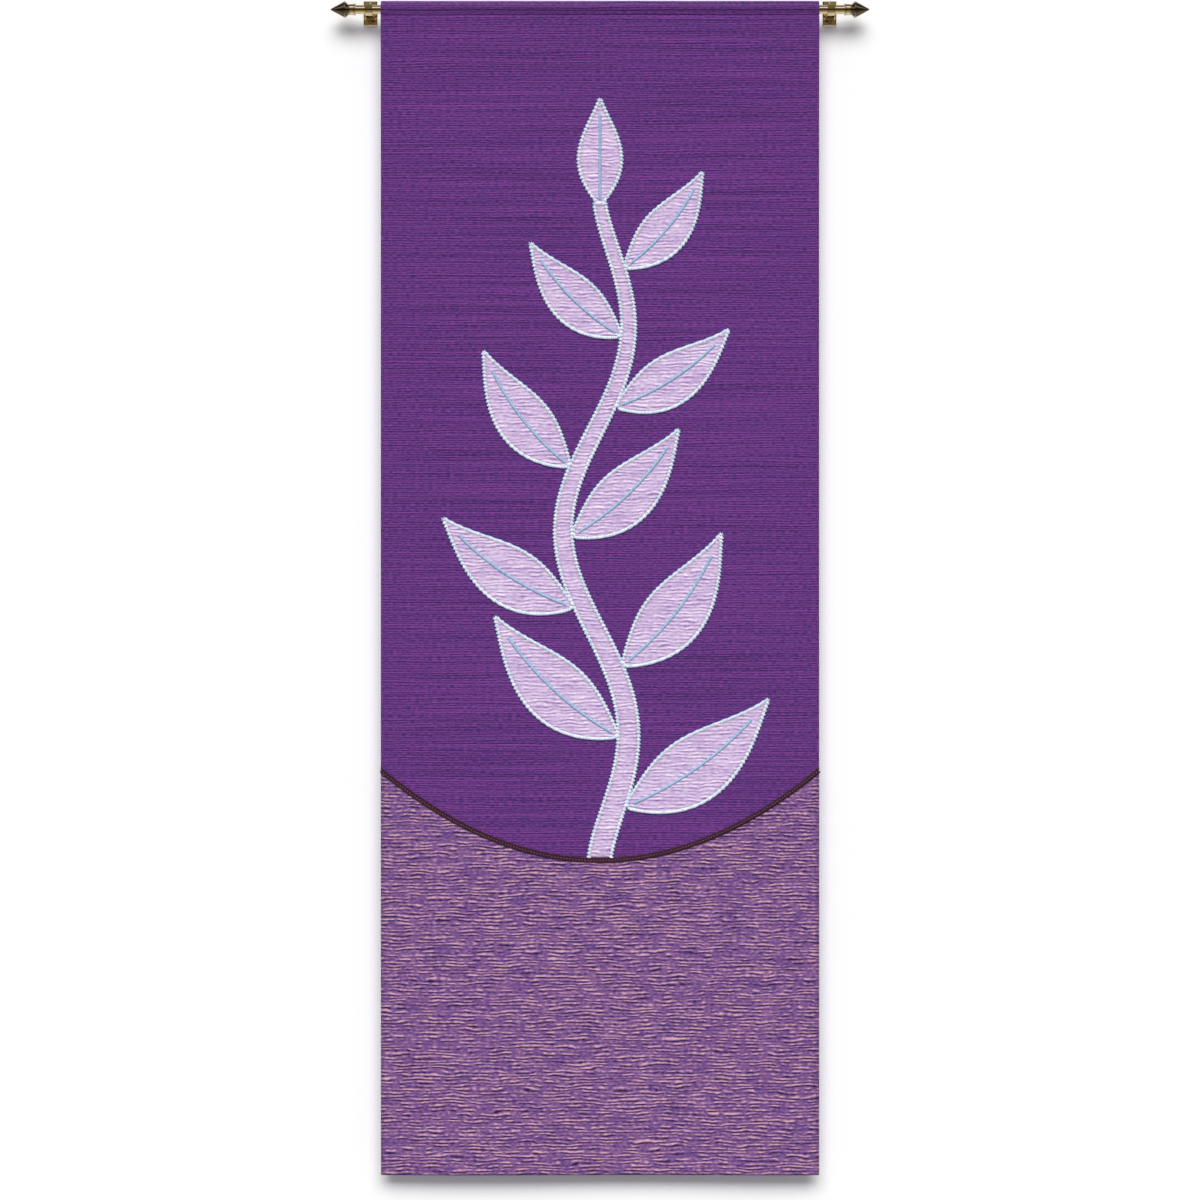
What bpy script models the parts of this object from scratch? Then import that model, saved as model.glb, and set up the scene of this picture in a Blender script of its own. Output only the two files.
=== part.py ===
"""A tall, narrow appliqué banner on a brass rod, held by two small wall brackets.

Metres, +Z up. The front faces -Y, the wall is the plane y = 0, and the origin lies on the wall,
midway between the two brackets, at the height of the rod.
"""

import math
from collections import Counter, namedtuple

import bmesh
import bpy
from mathutils import Matrix, Vector

for old in list(bpy.data.objects):
    bpy.data.objects.remove(old, do_unlink=True)

MM = 0.001
GAP = 0.3 * MM  # between pieces that touch or are sewn together
MERGE = 0.01 * MM  # points closer than this are one
STEP = 0.4 * MM  # over which a turned-under edge adds its thickness

# The ground cloth: one length, turned over the rod at the top and hemmed on its other sides.
CLOTH_WIDTH = 597 * MM
CLOTH_HEIGHT = 1600 * MM
CLOTH_THICK = 1.2 * MM
CLOTH_COLUMN = 45 * MM
CLOTH_ROW = 75 * MM
SIDE_HEM = 12 * MM
BOTTOM_HEM = 25 * MM
SEAM_ALLOWANCE = 12 * MM

# The rod and the pocket that holds it.
ROD_RADIUS = 6 * MM
ROD_FROM_WALL = 24 * MM
ROD_HALF = 339.5 * MM
POCKET_DEPTH = 9 * MM  # from the rod's centre down to the seam
POCKET_PEAK = 11.6 * MM  # from the rod's centre up to the pressed fold
POCKET_ARC = 7  # points where the cloth lies on the rod, on each side

# The panel sewn over the lower third, with a curved top edge, and the braid along it.
PANEL_THICK = 1.0 * MM
PANEL_MIDDLE = 429 * MM  # height at the centreline
PANEL_RISE = 123 * MM  # how much higher the edge is at the sides
PANEL_COLUMNS = 24
PANEL_ROWS = 7
BRAID_WIDTH = 6.6 * MM
BRAID_THICK = 1.7 * MM
BRAID_GROOVE = 0.7 * MM
BRAID_CREST = (0.3, 0.7)  # where each ridge is highest, as shares of the half width
BRAID_COLUMNS = 32

# The climbing stem with its leaves and bud, all cut from one cloth.
PATCH_THICK = 1.0 * MM
STEM_TOP = 276 * MM  # below the top of the cloth
STEM_BASE_WIDTH = 30 * MM
STEM_TOP_WIDTH = 15 * MM
STEM_SWAY = 50 * MM
STEM_BENDS = 1.5  # full waves from base to bud
STEM_START = 0.4  # below 1 lets the sway begin close to the stem's ends
STEM_SQUARE = 0.04  # share of the stem over which each end turns to a level cut
STEM_PROBE = 0.01  # share of the stem over which its direction is taken
STEM_STATIONS = 54
LEAF_COUNT = 9
LEAF_FIRST = 0.085  # up the stem, as a share of its height
LEAF_LAST = 0.90
LEAF_LONG = 242 * MM  # the lowest leaf
LEAF_SHORT = 165 * MM  # the highest leaf
LEAF_SHAPE = 0.36  # width as a share of length
LEAF_SPREAD = 60  # degrees between upright and a leaf's base
LEAF_FOLLOW = 0.4  # how far a leaf leans with the stem that it grows from
LEAF_CURL = 30  # degrees that a leaf turns upwards along its length
LEAF_WIDEST = 0.8  # below 1 moves the widest place towards the base
LEAF_TAPER = 1.2  # above 1 draws both ends in
LEAF_STATIONS = 20
BUD_LENGTH = 140 * MM
BUD_WIDTH = 58 * MM
BUD_CLEAR = 0.9 * MM  # from the stem's end to the bud
POINT_WIDTH = 1.6 * MM
STALK_WIDTH = 7 * MM
STALK_CLEAR = 3.2 * MM  # from the stem's edge to the middle of a leaf's base

# The turned spear at each end of the rod, from its open end to its tip.
SOCKET_DEPTH = 6.5 * MM
Turn = namedtuple("Turn", "radius height")
SPEAR = (
    Turn(8.0 * MM, 0),  # the lip round the socket
    Turn(8.0 * MM, 1.2 * MM),
    Turn(7.5 * MM, 1.8 * MM),  # the collar
    Turn(7.5 * MM, 7.5 * MM),
    Turn(6.8 * MM, 9.0 * MM),  # the neck
    Turn(8.1 * MM, 10.6 * MM),
    Turn(11.3 * MM, 14.0 * MM),  # the shoulder
    Turn(11.0 * MM, 14.8 * MM),
    Turn(0.9 * MM, 33.3 * MM),  # the tip
    Turn(0, 34.0 * MM),
)

# A wall bracket: bevelled plate, hook and two screws.
BRACKET_X = 315 * MM
PLATE_WIDTH = 18.5 * MM
PLATE_HEIGHT = 34 * MM
PLATE_THICK = 2.5 * MM
PLATE_BEVEL = 0.9 * MM
HOOK_WIDTH = 10 * MM
HOOK_THICK = 2.2 * MM
HOOK_LIP = 5.5 * MM  # above the rod's centre
HOOK_CORNER = 0.6 * MM
HOOK_ARC = 10
FOOT_WIDTH = 11 * MM
FOOT_HEIGHT = 6 * MM
FOOT_THICK = 2.6 * MM
FOOT_DROP = 6.4 * MM  # from the rod's centre down to the foot's centre
SCREW_OFFSET = 12.6 * MM
SCREW_HEAD = 2.6 * MM
SCREW_SHANK = 1.5 * MM
SCREW_RIM = 0.4 * MM
SCREW_DOME = 1.4 * MM
DOME_BEND = 0.75  # where the dome's outline bends, as a share of its radius and height

ROUND = 32
ROD_Y = -ROD_FROM_WALL
CLOTH_TOP = POCKET_PEAK
CLOTH_BOTTOM = CLOTH_TOP - CLOTH_HEIGHT
SEAM_Z = -POCKET_DEPTH

# The soft waves in which the cloth hangs. Each fades out towards the rod, which holds it straight.
Wave = namedtuple("Wave", "height length lean phase")
WAVES = (
    Wave(1.3 * MM, 640 * MM, 0.10, 20),
    Wave(0.6 * MM, 390 * MM, -0.22, 150),
)
WAVE_FADE = 600 * MM
CORNER_CURL = 2.5 * MM  # how far the lower corners turn towards the wall


def smooth(share):
    """A soft ramp from 0 to 1."""
    share = min(1, max(0, share))
    return share * share * (3 - 2 * share)


def cloth_front(x, z):
    """Y of the ground cloth's front face, anywhere below the pocket's seam."""
    drop = max(0, SEAM_Z - z)
    sway = 0
    for wave in WAVES:
        turn = x / wave.length + wave.lean * drop
        sway += wave.height * math.sin(math.tau * turn + math.radians(wave.phase))
    curl = CORNER_CURL * abs(2 * x / CLOTH_WIDTH) ** 4 * (drop / CLOTH_HEIGHT) ** 4
    return ROD_Y - CLOTH_THICK + smooth(drop / WAVE_FADE) * sway + curl


def material(name, rgb, roughness, metallic=0.0):
    """A Principled material with the piece's own colour."""
    made = bpy.data.materials.new(name)
    made.use_nodes = True
    shader = made.node_tree.nodes["Principled BSDF"]
    shader.inputs["Base Color"].default_value = (*rgb, 1)
    shader.inputs["Roughness"].default_value = roughness
    shader.inputs["Metallic"].default_value = metallic
    return made


RIBBED_CLOTH = material("purple ribbed cloth", (0.130, 0.040, 0.209), 0.85)
PANEL_CLOTH = material("mauve slub cloth", (0.246, 0.117, 0.254), 0.9)
PATCH_CLOTH = material("lilac slub cloth", (0.631, 0.485, 0.701), 0.9)
BRAID_YARN = material("dark braid", (0.044, 0.008, 0.019), 0.7)
BRASS = material("polished brass", (0.79, 0.60, 0.29), 0.18, 1.0)


def piece(name, bm, finish, sharp=40):
    """Turns a bmesh into a named object, smooth but for its sharp edges."""
    bmesh.ops.recalc_face_normals(bm, faces=bm.faces)
    mesh = bpy.data.meshes.new(name)
    bm.to_mesh(mesh)
    bm.free()
    mesh.shade_smooth()
    mesh.set_sharp_from_angle(angle=math.radians(sharp))
    mesh.materials.append(finish)
    made = bpy.data.objects.new(name, mesh)
    bpy.context.scene.collection.objects.link(made)
    return made


def swept(name, stations, cells, finish):
    """One closed body: a section of the given cells, carried from station to station."""
    bm = bmesh.new()
    rings = [[bm.verts.new(point) for point in station] for station in stations]
    for ring in (rings[0], rings[-1]):
        for cell in cells:
            bm.faces.new([ring[i] for i in cell])
    sides = [tuple(sorted(side)) for cell in cells for side in zip(cell, cell[1:] + cell[:1])]
    rim = [side for side, uses in Counter(sides).items() if uses == 1]
    for near, far in zip(rings, rings[1:]):
        for a, b in rim:
            bm.faces.new((near[a], near[b], far[b], far[a]))
    return piece(name, bm, finish)


def strip_cells(first, second):
    """Quads between two lines of points, as index tuples."""
    return [
        (first[i], first[i + 1], second[i + 1], second[i]) for i in range(len(first) - 1)
    ]


def patch(name, rows, thickness, finish):
    """A cloth shape laid on the ground cloth; rows are lines of (x, z) across it."""
    count = len(rows[0])
    stations = [
        [Vector((x, cloth_front(x, z) - GAP - depth, z)) for depth in (thickness, 0) for x, z in row]
        for row in rows
    ]
    cells = strip_cells(range(count), range(count, 2 * count))
    return swept(name, stations, cells, finish)


def spaced(start, end, step):
    """Values from start to end, both included, no further apart than step."""
    count = math.ceil(abs(end - start) / step)
    return [start + (end - start) * i / count for i in range(count + 1)]


def pocket_side(radius, peak):
    """One layer's line round the rod, as (distance out, height), from the seam to the fold."""
    low = math.acos(radius / POCKET_DEPTH)
    high = math.pi - math.acos(radius / peak)
    turns = [low + (high - low) * i / (POCKET_ARC - 1) for i in range(POCKET_ARC)]
    return [(radius * math.sin(a), -radius * math.cos(a)) for a in turns]


def cloth_thickness(x, z):
    """The ground cloth's layers below the seam, with those turned to the back."""
    layers = 1
    layers += abs(x) > CLOTH_WIDTH / 2 - SIDE_HEM - STEP / 2
    layers += z < CLOTH_BOTTOM + BOTTOM_HEM + STEP / 2
    layers += z > SEAM_Z - SEAM_ALLOWANCE - STEP / 2
    return layers * CLOTH_THICK


def ground_levels():
    """Heights of the ground cloth's rows, from the lower edge to the pocket's seam."""
    hem_top = CLOTH_BOTTOM + BOTTOM_HEM
    allowance = SEAM_Z - SEAM_ALLOWANCE
    middle = spaced(hem_top + STEP, allowance - STEP, CLOTH_ROW)
    return [CLOTH_BOTTOM, hem_top, *middle, allowance, SEAM_Z]


def ground_columns():
    """Places of the ground cloth's columns, with a close pair at each side hem's edge."""
    edge = CLOTH_WIDTH / 2
    inner = edge - SIDE_HEM - STEP
    return [-edge, -edge + SIDE_HEM, *spaced(-inner, inner, CLOTH_COLUMN), edge - SIDE_HEM, edge]


def ground_station(x, levels):
    """One column's points: front, back, seam, then the pocket's two layers."""
    radius_in = ROD_RADIUS + GAP
    radius_out = radius_in + CLOTH_THICK
    peak_in = POCKET_PEAK * radius_in / radius_out
    inner = pocket_side(radius_in, peak_in)
    outer = pocket_side(radius_out, POCKET_PEAK)
    front = [(cloth_front(x, z), z) for z in levels]
    back = [(cloth_front(x, z) + cloth_thickness(x, z), z) for z in levels]
    seam = [(ROD_Y, SEAM_Z)]
    folds = [(ROD_Y, POCKET_PEAK), (ROD_Y, peak_in)]
    layers = [
        (ROD_Y + side * out, up)
        for line in (outer, inner)
        for side in (-1, 1)
        for out, up in line
    ]
    return [Vector((x, y, z)) for y, z in front + back + seam + folds + layers]


def ground_cells(rows):
    """The ground cloth's section: the hanging sheet, forked into the pocket's two layers."""
    front = list(range(rows))
    back = list(range(rows, 2 * rows))
    seam, fold_out, fold_in = range(2 * rows, 2 * rows + 3)
    first = 2 * rows + 3
    lines = [list(range(first + i * POCKET_ARC, first + (i + 1) * POCKET_ARC)) for i in range(4)]
    outer_front, outer_back, inner_front, inner_back = lines
    cells = strip_cells(front[:-1], back[:-1])
    cells.append((front[-2], front[-1], seam, back[-1], back[-2]))
    cells += strip_cells([front[-1], *outer_front, fold_out], [seam, *inner_front, fold_in])
    cells += strip_cells([back[-1], *outer_back, fold_out], [seam, *inner_back, fold_in])
    return cells


def make_ground():
    """The ground cloth with its rod pocket and hems."""
    levels = ground_levels()
    stations = [ground_station(x, levels) for x in ground_columns()]
    return swept("ground_cloth", stations, ground_cells(len(levels)), RIBBED_CLOTH)


def panel_edge(x):
    """Height of the lower panel's top edge."""
    return CLOTH_BOTTOM + PANEL_MIDDLE + PANEL_RISE * (2 * x / CLOTH_WIDTH) ** 2


def panel_slope(x):
    """Slope of the panel's top edge."""
    return 2 * PANEL_RISE * (2 / CLOTH_WIDTH) ** 2 * x


def make_panel():
    """The slub cloth panel that covers the lower third."""
    rows = []
    for x in spaced(-CLOTH_WIDTH / 2, CLOTH_WIDTH / 2, CLOTH_WIDTH / PANEL_COLUMNS):
        height = panel_edge(x) - CLOTH_BOTTOM
        rows.append([(x, CLOTH_BOTTOM + height * i / PANEL_ROWS) for i in range(PANEL_ROWS + 1)])
    return patch("lower_panel", rows, PANEL_THICK, PANEL_CLOTH)


def make_braid():
    """The braid over the panel's raw edge: two ridges, its upper half a step nearer the ground."""
    half = BRAID_WIDTH / 2
    near, far = (share * half for share in BRAID_CREST)
    low = 2 * GAP + PANEL_THICK
    top = low + BRAID_THICK
    profile = (
        (half, GAP),
        (GAP, GAP),
        (GAP, low),
        (-half, low),
        (-half, low + BRAID_THICK / 2),
        (-far, top),
        (-near, top),
        (0, top - BRAID_GROOVE),
        (near, top),
        (far, top),
        (half, low + BRAID_THICK / 2),
    )
    stations = []
    for x in spaced(-CLOTH_WIDTH / 2, CLOTH_WIDTH / 2, CLOTH_WIDTH / BRAID_COLUMNS):
        stretch = math.hypot(1, panel_slope(x))
        edge = panel_edge(x)
        front = cloth_front(x, edge)
        stations.append([Vector((x, front - out, edge + up * stretch)) for up, out in profile])
    return swept("panel_braid", stations, [tuple(range(len(profile)))], BRAID_YARN)


STEM_BOTTOM = panel_edge(STEM_BASE_WIDTH / 2) + BRAID_WIDTH / 2 + GAP
STEM_HEIGHT = CLOTH_TOP - STEM_TOP - STEM_BOTTOM


def stem_point(share):
    """The stem's centreline, as (x, z), at a share of its height."""
    sway = STEM_SWAY * math.sin(math.pi * share) ** STEM_START
    return Vector((sway * math.sin(math.tau * STEM_BENDS * share), STEM_BOTTOM + STEM_HEIGHT * share))


def stem_heading(share):
    """The stem's direction, as an angle from upright towards +X."""
    near = stem_point(max(0, share - STEM_PROBE))
    far = stem_point(min(1, share + STEM_PROBE))
    return math.atan2(far.x - near.x, far.y - near.y)


def stem_width(share):
    """The stem tapers from its base to the bud."""
    return STEM_BASE_WIDTH + (STEM_TOP_WIDTH - STEM_BASE_WIDTH) * share


def make_stem():
    """The climbing stem."""
    rows = []
    for i in range(STEM_STATIONS + 1):
        share = i / STEM_STATIONS
        centre = stem_point(share)
        level = smooth(share / STEM_SQUARE) * smooth((1 - share) / STEM_SQUARE)
        heading = stem_heading(share) * level
        across = Vector((math.cos(heading), -math.sin(heading))) * stem_width(share) / 2
        rows.append([tuple(centre + across * side) for side in (-1, 0, 1)])
    return patch("vine_stem", rows, PATCH_THICK, PATCH_CLOTH)


def leaf_rows(base, heading, turn, length, width):
    """Lines across a leaf that leaves base at heading and turns steadily to its tip."""
    rows = []
    place = base.copy()
    for i in range(LEAF_STATIONS + 1):
        share = i / LEAF_STATIONS
        angle = heading + turn * share
        ends = (STALK_WIDTH * (1 - share) + POINT_WIDTH * share) / 2
        swell = math.sin(math.pi * share**LEAF_WIDEST) ** LEAF_TAPER
        half = ends + (width / 2 - ends) * swell
        across = Vector((math.cos(angle), -math.sin(angle))) * half
        rows.append([tuple(place + across * side) for side in (-1, 0, 1)])
        place += Vector((math.sin(angle), math.cos(angle))) * length / LEAF_STATIONS
    return rows


def make_leaves():
    """The leaves, on alternate sides of the stem, shorter towards the bud."""
    for i in range(LEAF_COUNT):
        rank = i / (LEAF_COUNT - 1)
        share = LEAF_FIRST + (LEAF_LAST - LEAF_FIRST) * rank
        side = 1 if i % 2 == 0 else -1
        stem = stem_heading(share)
        out = Vector((math.cos(stem), -math.sin(stem))) * side
        base = stem_point(share) + out * (stem_width(share) / 2 + STALK_CLEAR)
        length = LEAF_LONG + (LEAF_SHORT - LEAF_LONG) * rank
        heading = LEAF_FOLLOW * stem + side * math.radians(LEAF_SPREAD)
        turn = -side * math.radians(LEAF_CURL)
        rows = leaf_rows(base, heading, turn, length, length * LEAF_SHAPE)
        patch(f"leaf_{i + 1:02d}", rows, PATCH_THICK, PATCH_CLOTH)


def make_bud():
    """The bud that ends the stem."""
    base = stem_point(1) + Vector((0, BUD_CLEAR))
    rows = leaf_rows(base, 0, 0, BUD_LENGTH, BUD_WIDTH)
    return patch("bud", rows, PATCH_THICK, PATCH_CLOTH)


def turned(name, profile, finish):
    """A turned body about local Z; profile is (radius, height) from one end to the other."""
    bm = bmesh.new()
    points = [bm.verts.new((radius, 0, height)) for radius, height in profile]
    edges = [bm.edges.new(pair) for pair in zip(points, points[1:])]
    bmesh.ops.spin(
        bm, geom=points + edges, axis=(0, 0, 1), cent=(0, 0, 0), angle=math.tau, steps=ROUND
    )
    bmesh.ops.remove_doubles(bm, verts=bm.verts, dist=MERGE)
    return piece(name, bm, finish)


def make_rod():
    """The round bar through the pocket."""
    profile = ((0, -ROD_HALF), (ROD_RADIUS, -ROD_HALF), (ROD_RADIUS, ROD_HALF), (0, ROD_HALF))
    rod = turned("rod", profile, BRASS)
    rod.location = (0, ROD_Y, 0)
    rod.rotation_euler = (0, math.pi / 2, 0)


def make_finials():
    """The spear on each end of the rod: a socket and collar, a flared shoulder and a point."""
    bore = ROD_RADIUS + GAP
    profile = ((0, SOCKET_DEPTH), (bore, SOCKET_DEPTH), (bore, 0), *SPEAR)
    start = ROD_HALF - SOCKET_DEPTH + GAP
    for name, side in (("finial_left", -1), ("finial_right", 1)):
        spear = turned(name, profile, BRASS)
        spear.location = (side * start, ROD_Y, 0)
        spear.rotation_euler = (0, side * math.pi / 2, 0)


def bevelled_plate(name, width, thick, height):
    """A plate with bevelled front edges, its back at y = 0."""
    bm = bmesh.new()
    size = Matrix.Diagonal((width, thick, height, 1))
    bmesh.ops.create_cube(bm, size=1, matrix=Matrix.Translation((0, -thick / 2, 0)) @ size)
    front = [edge for edge in bm.edges if all(v.co.y < -thick / 2 for v in edge.verts)]
    bmesh.ops.bevel(bm, geom=front, offset=PLATE_BEVEL, segments=1, affect="EDGES")
    return piece(name, bm, BRASS, sharp=20)


def drilled(plate, x):
    """Cuts the plate's two screw holes."""
    for up in (SCREW_OFFSET, -SCREW_OFFSET):
        bm = bmesh.new()
        bmesh.ops.create_cone(
            bm,
            cap_ends=True,
            segments=ROUND,
            radius1=SCREW_SHANK + GAP,
            radius2=SCREW_SHANK + GAP,
            depth=4 * PLATE_THICK,
        )
        cutter = piece(f"{plate.name}_drill", bm, BRASS)
        cutter.location = (x, 0, up)
        cutter.rotation_euler = (math.pi / 2, 0, 0)
        cutter.hide_render = True
        cutter.display_type = "WIRE"
        cut = plate.modifiers.new("screw hole", "BOOLEAN")
        cut.operation = "DIFFERENCE"
        cut.object = cutter


def hook_outline():
    """The hook's side view as (y, z) about the rod's centre: a foot, a cradle and a lip."""
    inner = ROD_RADIUS + GAP
    outer = inner + HOOK_THICK
    foot = ROD_FROM_WALL - PLATE_THICK - GAP
    turns = [math.pi / 2 * i / HOOK_ARC for i in range(HOOK_ARC + 1)]
    below = [(-outer * math.sin(a), -outer * math.cos(a)) for a in turns]
    above = [(-inner * math.sin(a), -inner * math.cos(a)) for a in reversed(turns)]
    tip = [(-outer, HOOK_LIP - HOOK_CORNER), (-outer + HOOK_CORNER, HOOK_LIP)]
    tip += [(-inner - HOOK_CORNER, HOOK_LIP), (-inner, HOOK_LIP - HOOK_CORNER)]
    return [(foot, -outer), *below, *tip, *above, (foot, -inner)]


def make_hook(name, x):
    """The hook that cradles the rod, with a foot where it stands on the plate."""
    bm = bmesh.new()
    ring = [bm.verts.new((-HOOK_WIDTH / 2, y, z)) for y, z in hook_outline()]
    side = bm.faces.new(ring)
    grown = bmesh.ops.extrude_face_region(bm, geom=[side])
    moved = [v for v in grown["geom"] if isinstance(v, bmesh.types.BMVert)]
    bmesh.ops.translate(bm, verts=moved, vec=(HOOK_WIDTH, 0, 0))
    hook = piece(name, bm, BRASS)
    hook.location = (x, ROD_Y, 0)
    foot = bevelled_plate(f"{name}_foot", FOOT_WIDTH, FOOT_THICK, FOOT_HEIGHT)
    foot.location = (x, -PLATE_THICK - GAP, -FOOT_DROP)
    foot.hide_render = True
    foot.display_type = "WIRE"
    join = hook.modifiers.new("foot", "BOOLEAN")
    join.operation = "UNION"
    join.object = foot


def make_screw(name, x, z):
    """A domed screw, its shank ending level with the plate's back."""
    under = PLATE_THICK + GAP
    bend = (DOME_BEND * SCREW_HEAD, under + DOME_BEND * SCREW_DOME)
    profile = [(0, 0), (SCREW_SHANK, 0), (SCREW_SHANK, under), (SCREW_HEAD, under)]
    profile += [(SCREW_HEAD, under + SCREW_RIM), bend, (0, under + SCREW_DOME)]
    screw = turned(name, profile, BRASS)
    screw.location = (x, 0, z)
    screw.rotation_euler = (math.pi / 2, 0, 0)


def make_brackets():
    """The two wall brackets."""
    for side, x in (("left", -BRACKET_X), ("right", BRACKET_X)):
        plate = bevelled_plate(f"plate_{side}", PLATE_WIDTH, PLATE_THICK, PLATE_HEIGHT)
        plate.location.x = x
        drilled(plate, x)
        make_hook(f"hook_{side}", x)
        make_screw(f"screw_{side}_top", x, SCREW_OFFSET)
        make_screw(f"screw_{side}_bottom", x, -SCREW_OFFSET)


make_ground()
make_panel()
make_braid()
make_stem()
make_leaves()
make_bud()
make_rod()
make_finials()
make_brackets()
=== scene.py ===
"""A tall, narrow appliqué banner on a brass rod: its cloths, sewing and brass, dressed round the solids.

Metres, +Z up. The front faces -Y, the wall is the plane y = 0, and the origin lies on the wall,
midway between the two brackets, at the height of the rod.
"""

import math

import bmesh
import bpy
import numpy as np
from bpy.props import FloatProperty, FloatVectorProperty, PointerProperty
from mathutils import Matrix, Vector


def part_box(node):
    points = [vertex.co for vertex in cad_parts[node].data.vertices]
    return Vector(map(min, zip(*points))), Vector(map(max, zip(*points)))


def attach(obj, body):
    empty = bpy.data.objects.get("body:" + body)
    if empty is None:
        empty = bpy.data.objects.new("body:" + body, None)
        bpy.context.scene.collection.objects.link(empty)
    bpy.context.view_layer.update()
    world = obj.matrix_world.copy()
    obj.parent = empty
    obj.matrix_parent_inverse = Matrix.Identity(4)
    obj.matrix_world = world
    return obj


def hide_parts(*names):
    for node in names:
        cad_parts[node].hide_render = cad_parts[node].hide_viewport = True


bl_info = {
    "name": "Appliqué Banner",
    "version": (1, 0, 0),
    "blender": (4, 5, 0),
    "location": "3D View > Sidebar > Banner",
    "description": "Builds a cloth banner with raised stitching, hung from a brass rod",
    "category": "Object",
}

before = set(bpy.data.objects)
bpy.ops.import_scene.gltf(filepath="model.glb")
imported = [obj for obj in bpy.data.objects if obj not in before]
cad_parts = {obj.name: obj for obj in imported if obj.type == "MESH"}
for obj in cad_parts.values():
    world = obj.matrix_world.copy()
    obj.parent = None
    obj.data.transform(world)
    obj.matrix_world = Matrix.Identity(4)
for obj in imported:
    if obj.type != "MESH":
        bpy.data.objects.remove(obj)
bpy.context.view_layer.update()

MM = 0.001
GAP = 0.3 * MM  # between pieces that touch or are sewn together

# Sizes that the frame gives.
CLOTH_LOW, CLOTH_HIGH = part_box("ground_cloth")
ROD_LOW, ROD_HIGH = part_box("rod")
PLATE_LOW, PLATE_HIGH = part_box("plate_right")
CLOTH_WIDTH = CLOTH_HIGH.x - CLOTH_LOW.x
CLOTH_TOP = CLOTH_HIGH.z
CLOTH_BOTTOM = CLOTH_LOW.z
CLOTH_HEIGHT = CLOTH_TOP - CLOTH_BOTTOM
ROD_Y = (ROD_LOW.y + ROD_HIGH.y) / 2
ROD_RADIUS = (ROD_HIGH.z - ROD_LOW.z) / 2
ROD_HALF = ROD_HIGH.x
BRACKET_X = (PLATE_LOW.x + PLATE_HIGH.x) / 2

# The ground cloth, turned over the rod at the top and hemmed on its other sides.
CLOTH_THICK = 1.2 * MM
SIDE_HEM = 12 * MM
BOTTOM_HEM = 25 * MM
SEAM_ALLOWANCE = 12 * MM
HEM_STEP = 0.4 * MM
EDGE_INSET = 0.7 * MM  # from a side's folded edge to the first full column
FOOT_ROUND = 1.2 * MM  # height over which the bottom hem's fold rounds off
FOOT_TURNS = 4
POCKET_DEPTH = 9 * MM
SEAM_Z = -POCKET_DEPTH
POCKET_ARC = 22
POCKET_ROWS = 7
POCKET_RIBS = 0.6  # how high the ribs stand where the cloth is drawn over the rod
RIDGE_RIBS = 0.3
RIDGE_RUN = 4 * MM  # length of cloth over the pocket's ridge
RIB_ROWS = 4  # mesh rows to a rib
UNDER_PANEL = 10 * MM  # how far the ribs go on behind the panel's lowest top edge
COVERED_ROWS = 11  # mesh rows of the part that the panel covers
GROUND_COLUMN = 12 * MM
BACK_ROW = 40 * MM
SEAM_FOLD = 6.4 * MM  # how far the front stands ahead of the rod's centre at the seam
SEAM_NICK = 1.3 * MM  # depth and half width of the crease that the seam pulls into the front
SEAM_SWELL = 3 * MM  # length over which the ribs rise again below the seam
FOLD_FADE = 70 * MM  # how fast the front settles back below the seam
POCKET_PAINTED_SHADE = 0.22  # how much painted shade darkens the cloth's colour over the rod
POCKET_PAINTED_SHADE_RUN = 4 * MM
RIM_PAINTED_SHADE = 0.25  # and the painted shade along a rim that the sewing runs beside
RIM_PAINTED_SHADE_WIDTH = 6 * MM
RIM_FLAT = 2 * MM  # width of a rim that the sewing presses flat
RIM_ROUND = 1.2 * MM
RIM_LEAST = 0.35  # a cut sheet's thickness at its very rim, as a share of its full one
EDGE_ROUND = 0.45  # how thin a folded edge gets at its very rim, as a share of its layers

# The soft waves in which the cloth hangs, as height, length, lean and phase.
WAVES = ((1.3 * MM, 640 * MM, 0.10, 20), (0.6 * MM, 390 * MM, -0.22, 150))
WAVE_FADE = 600 * MM
CORNER_CURL = 2.5 * MM

# The lower panel and its braid.
PANEL_THICK = 1.0 * MM
PANEL_MIDDLE = 429 * MM
PANEL_RISE = 123 * MM
PANEL_COLUMN = 6 * MM
PANEL_ROWS = 400
PANEL_BACK_ROWS = 9
PANEL_RIM_ROW = 0.0025  # from the rim to the first full row, as a share of the panel's height
BRAID_WIDTH = 6.6 * MM
BRAID_THICK = 1.7 * MM
BRAID_STEP = 4 * MM

# The climbing stem with its leaves and bud.
PATCH_THICK = 1.0 * MM
PATCH_GRID = 1.6 * MM
STEM_TOP = 276 * MM
STEM_BASE_WIDTH = 30 * MM
STEM_TOP_WIDTH = 15 * MM
STEM_SWAY = 50 * MM
STEM_BENDS = 1.5
STEM_START = 0.4  # power that lets the sway grow quickly from both ends
STEM_SQUARE = 0.04  # share of the height over which each end turns square to the stem's axis
STEM_PROBE = 0.01
LEAF_COUNT = 9
LEAF_FIRST = 0.085
LEAF_LAST = 0.90
LEAF_LONG = 242 * MM
LEAF_SHORT = 165 * MM
LEAF_SHAPE = 0.36  # width as a share of length
LEAF_SPREAD = 60  # degrees from upright
LEAF_FOLLOW = 0.4  # how far a leaf leans with the stem
LEAF_CURL = 30  # degrees that a leaf bends back along its length
LEAF_WIDEST = 0.8
LEAF_TAPER = 1.2
LEAF_STATIONS = 20
MIDRIB_FROM = 0.04
MIDRIB_TO = 0.86
BUD_LENGTH = 140 * MM
BUD_WIDTH = 58 * MM
BUD_CLEAR = 0.9 * MM
POINT_WIDTH = 1.6 * MM
STALK_WIDTH = 7 * MM
STALK_CLEAR = 3.2 * MM

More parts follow.
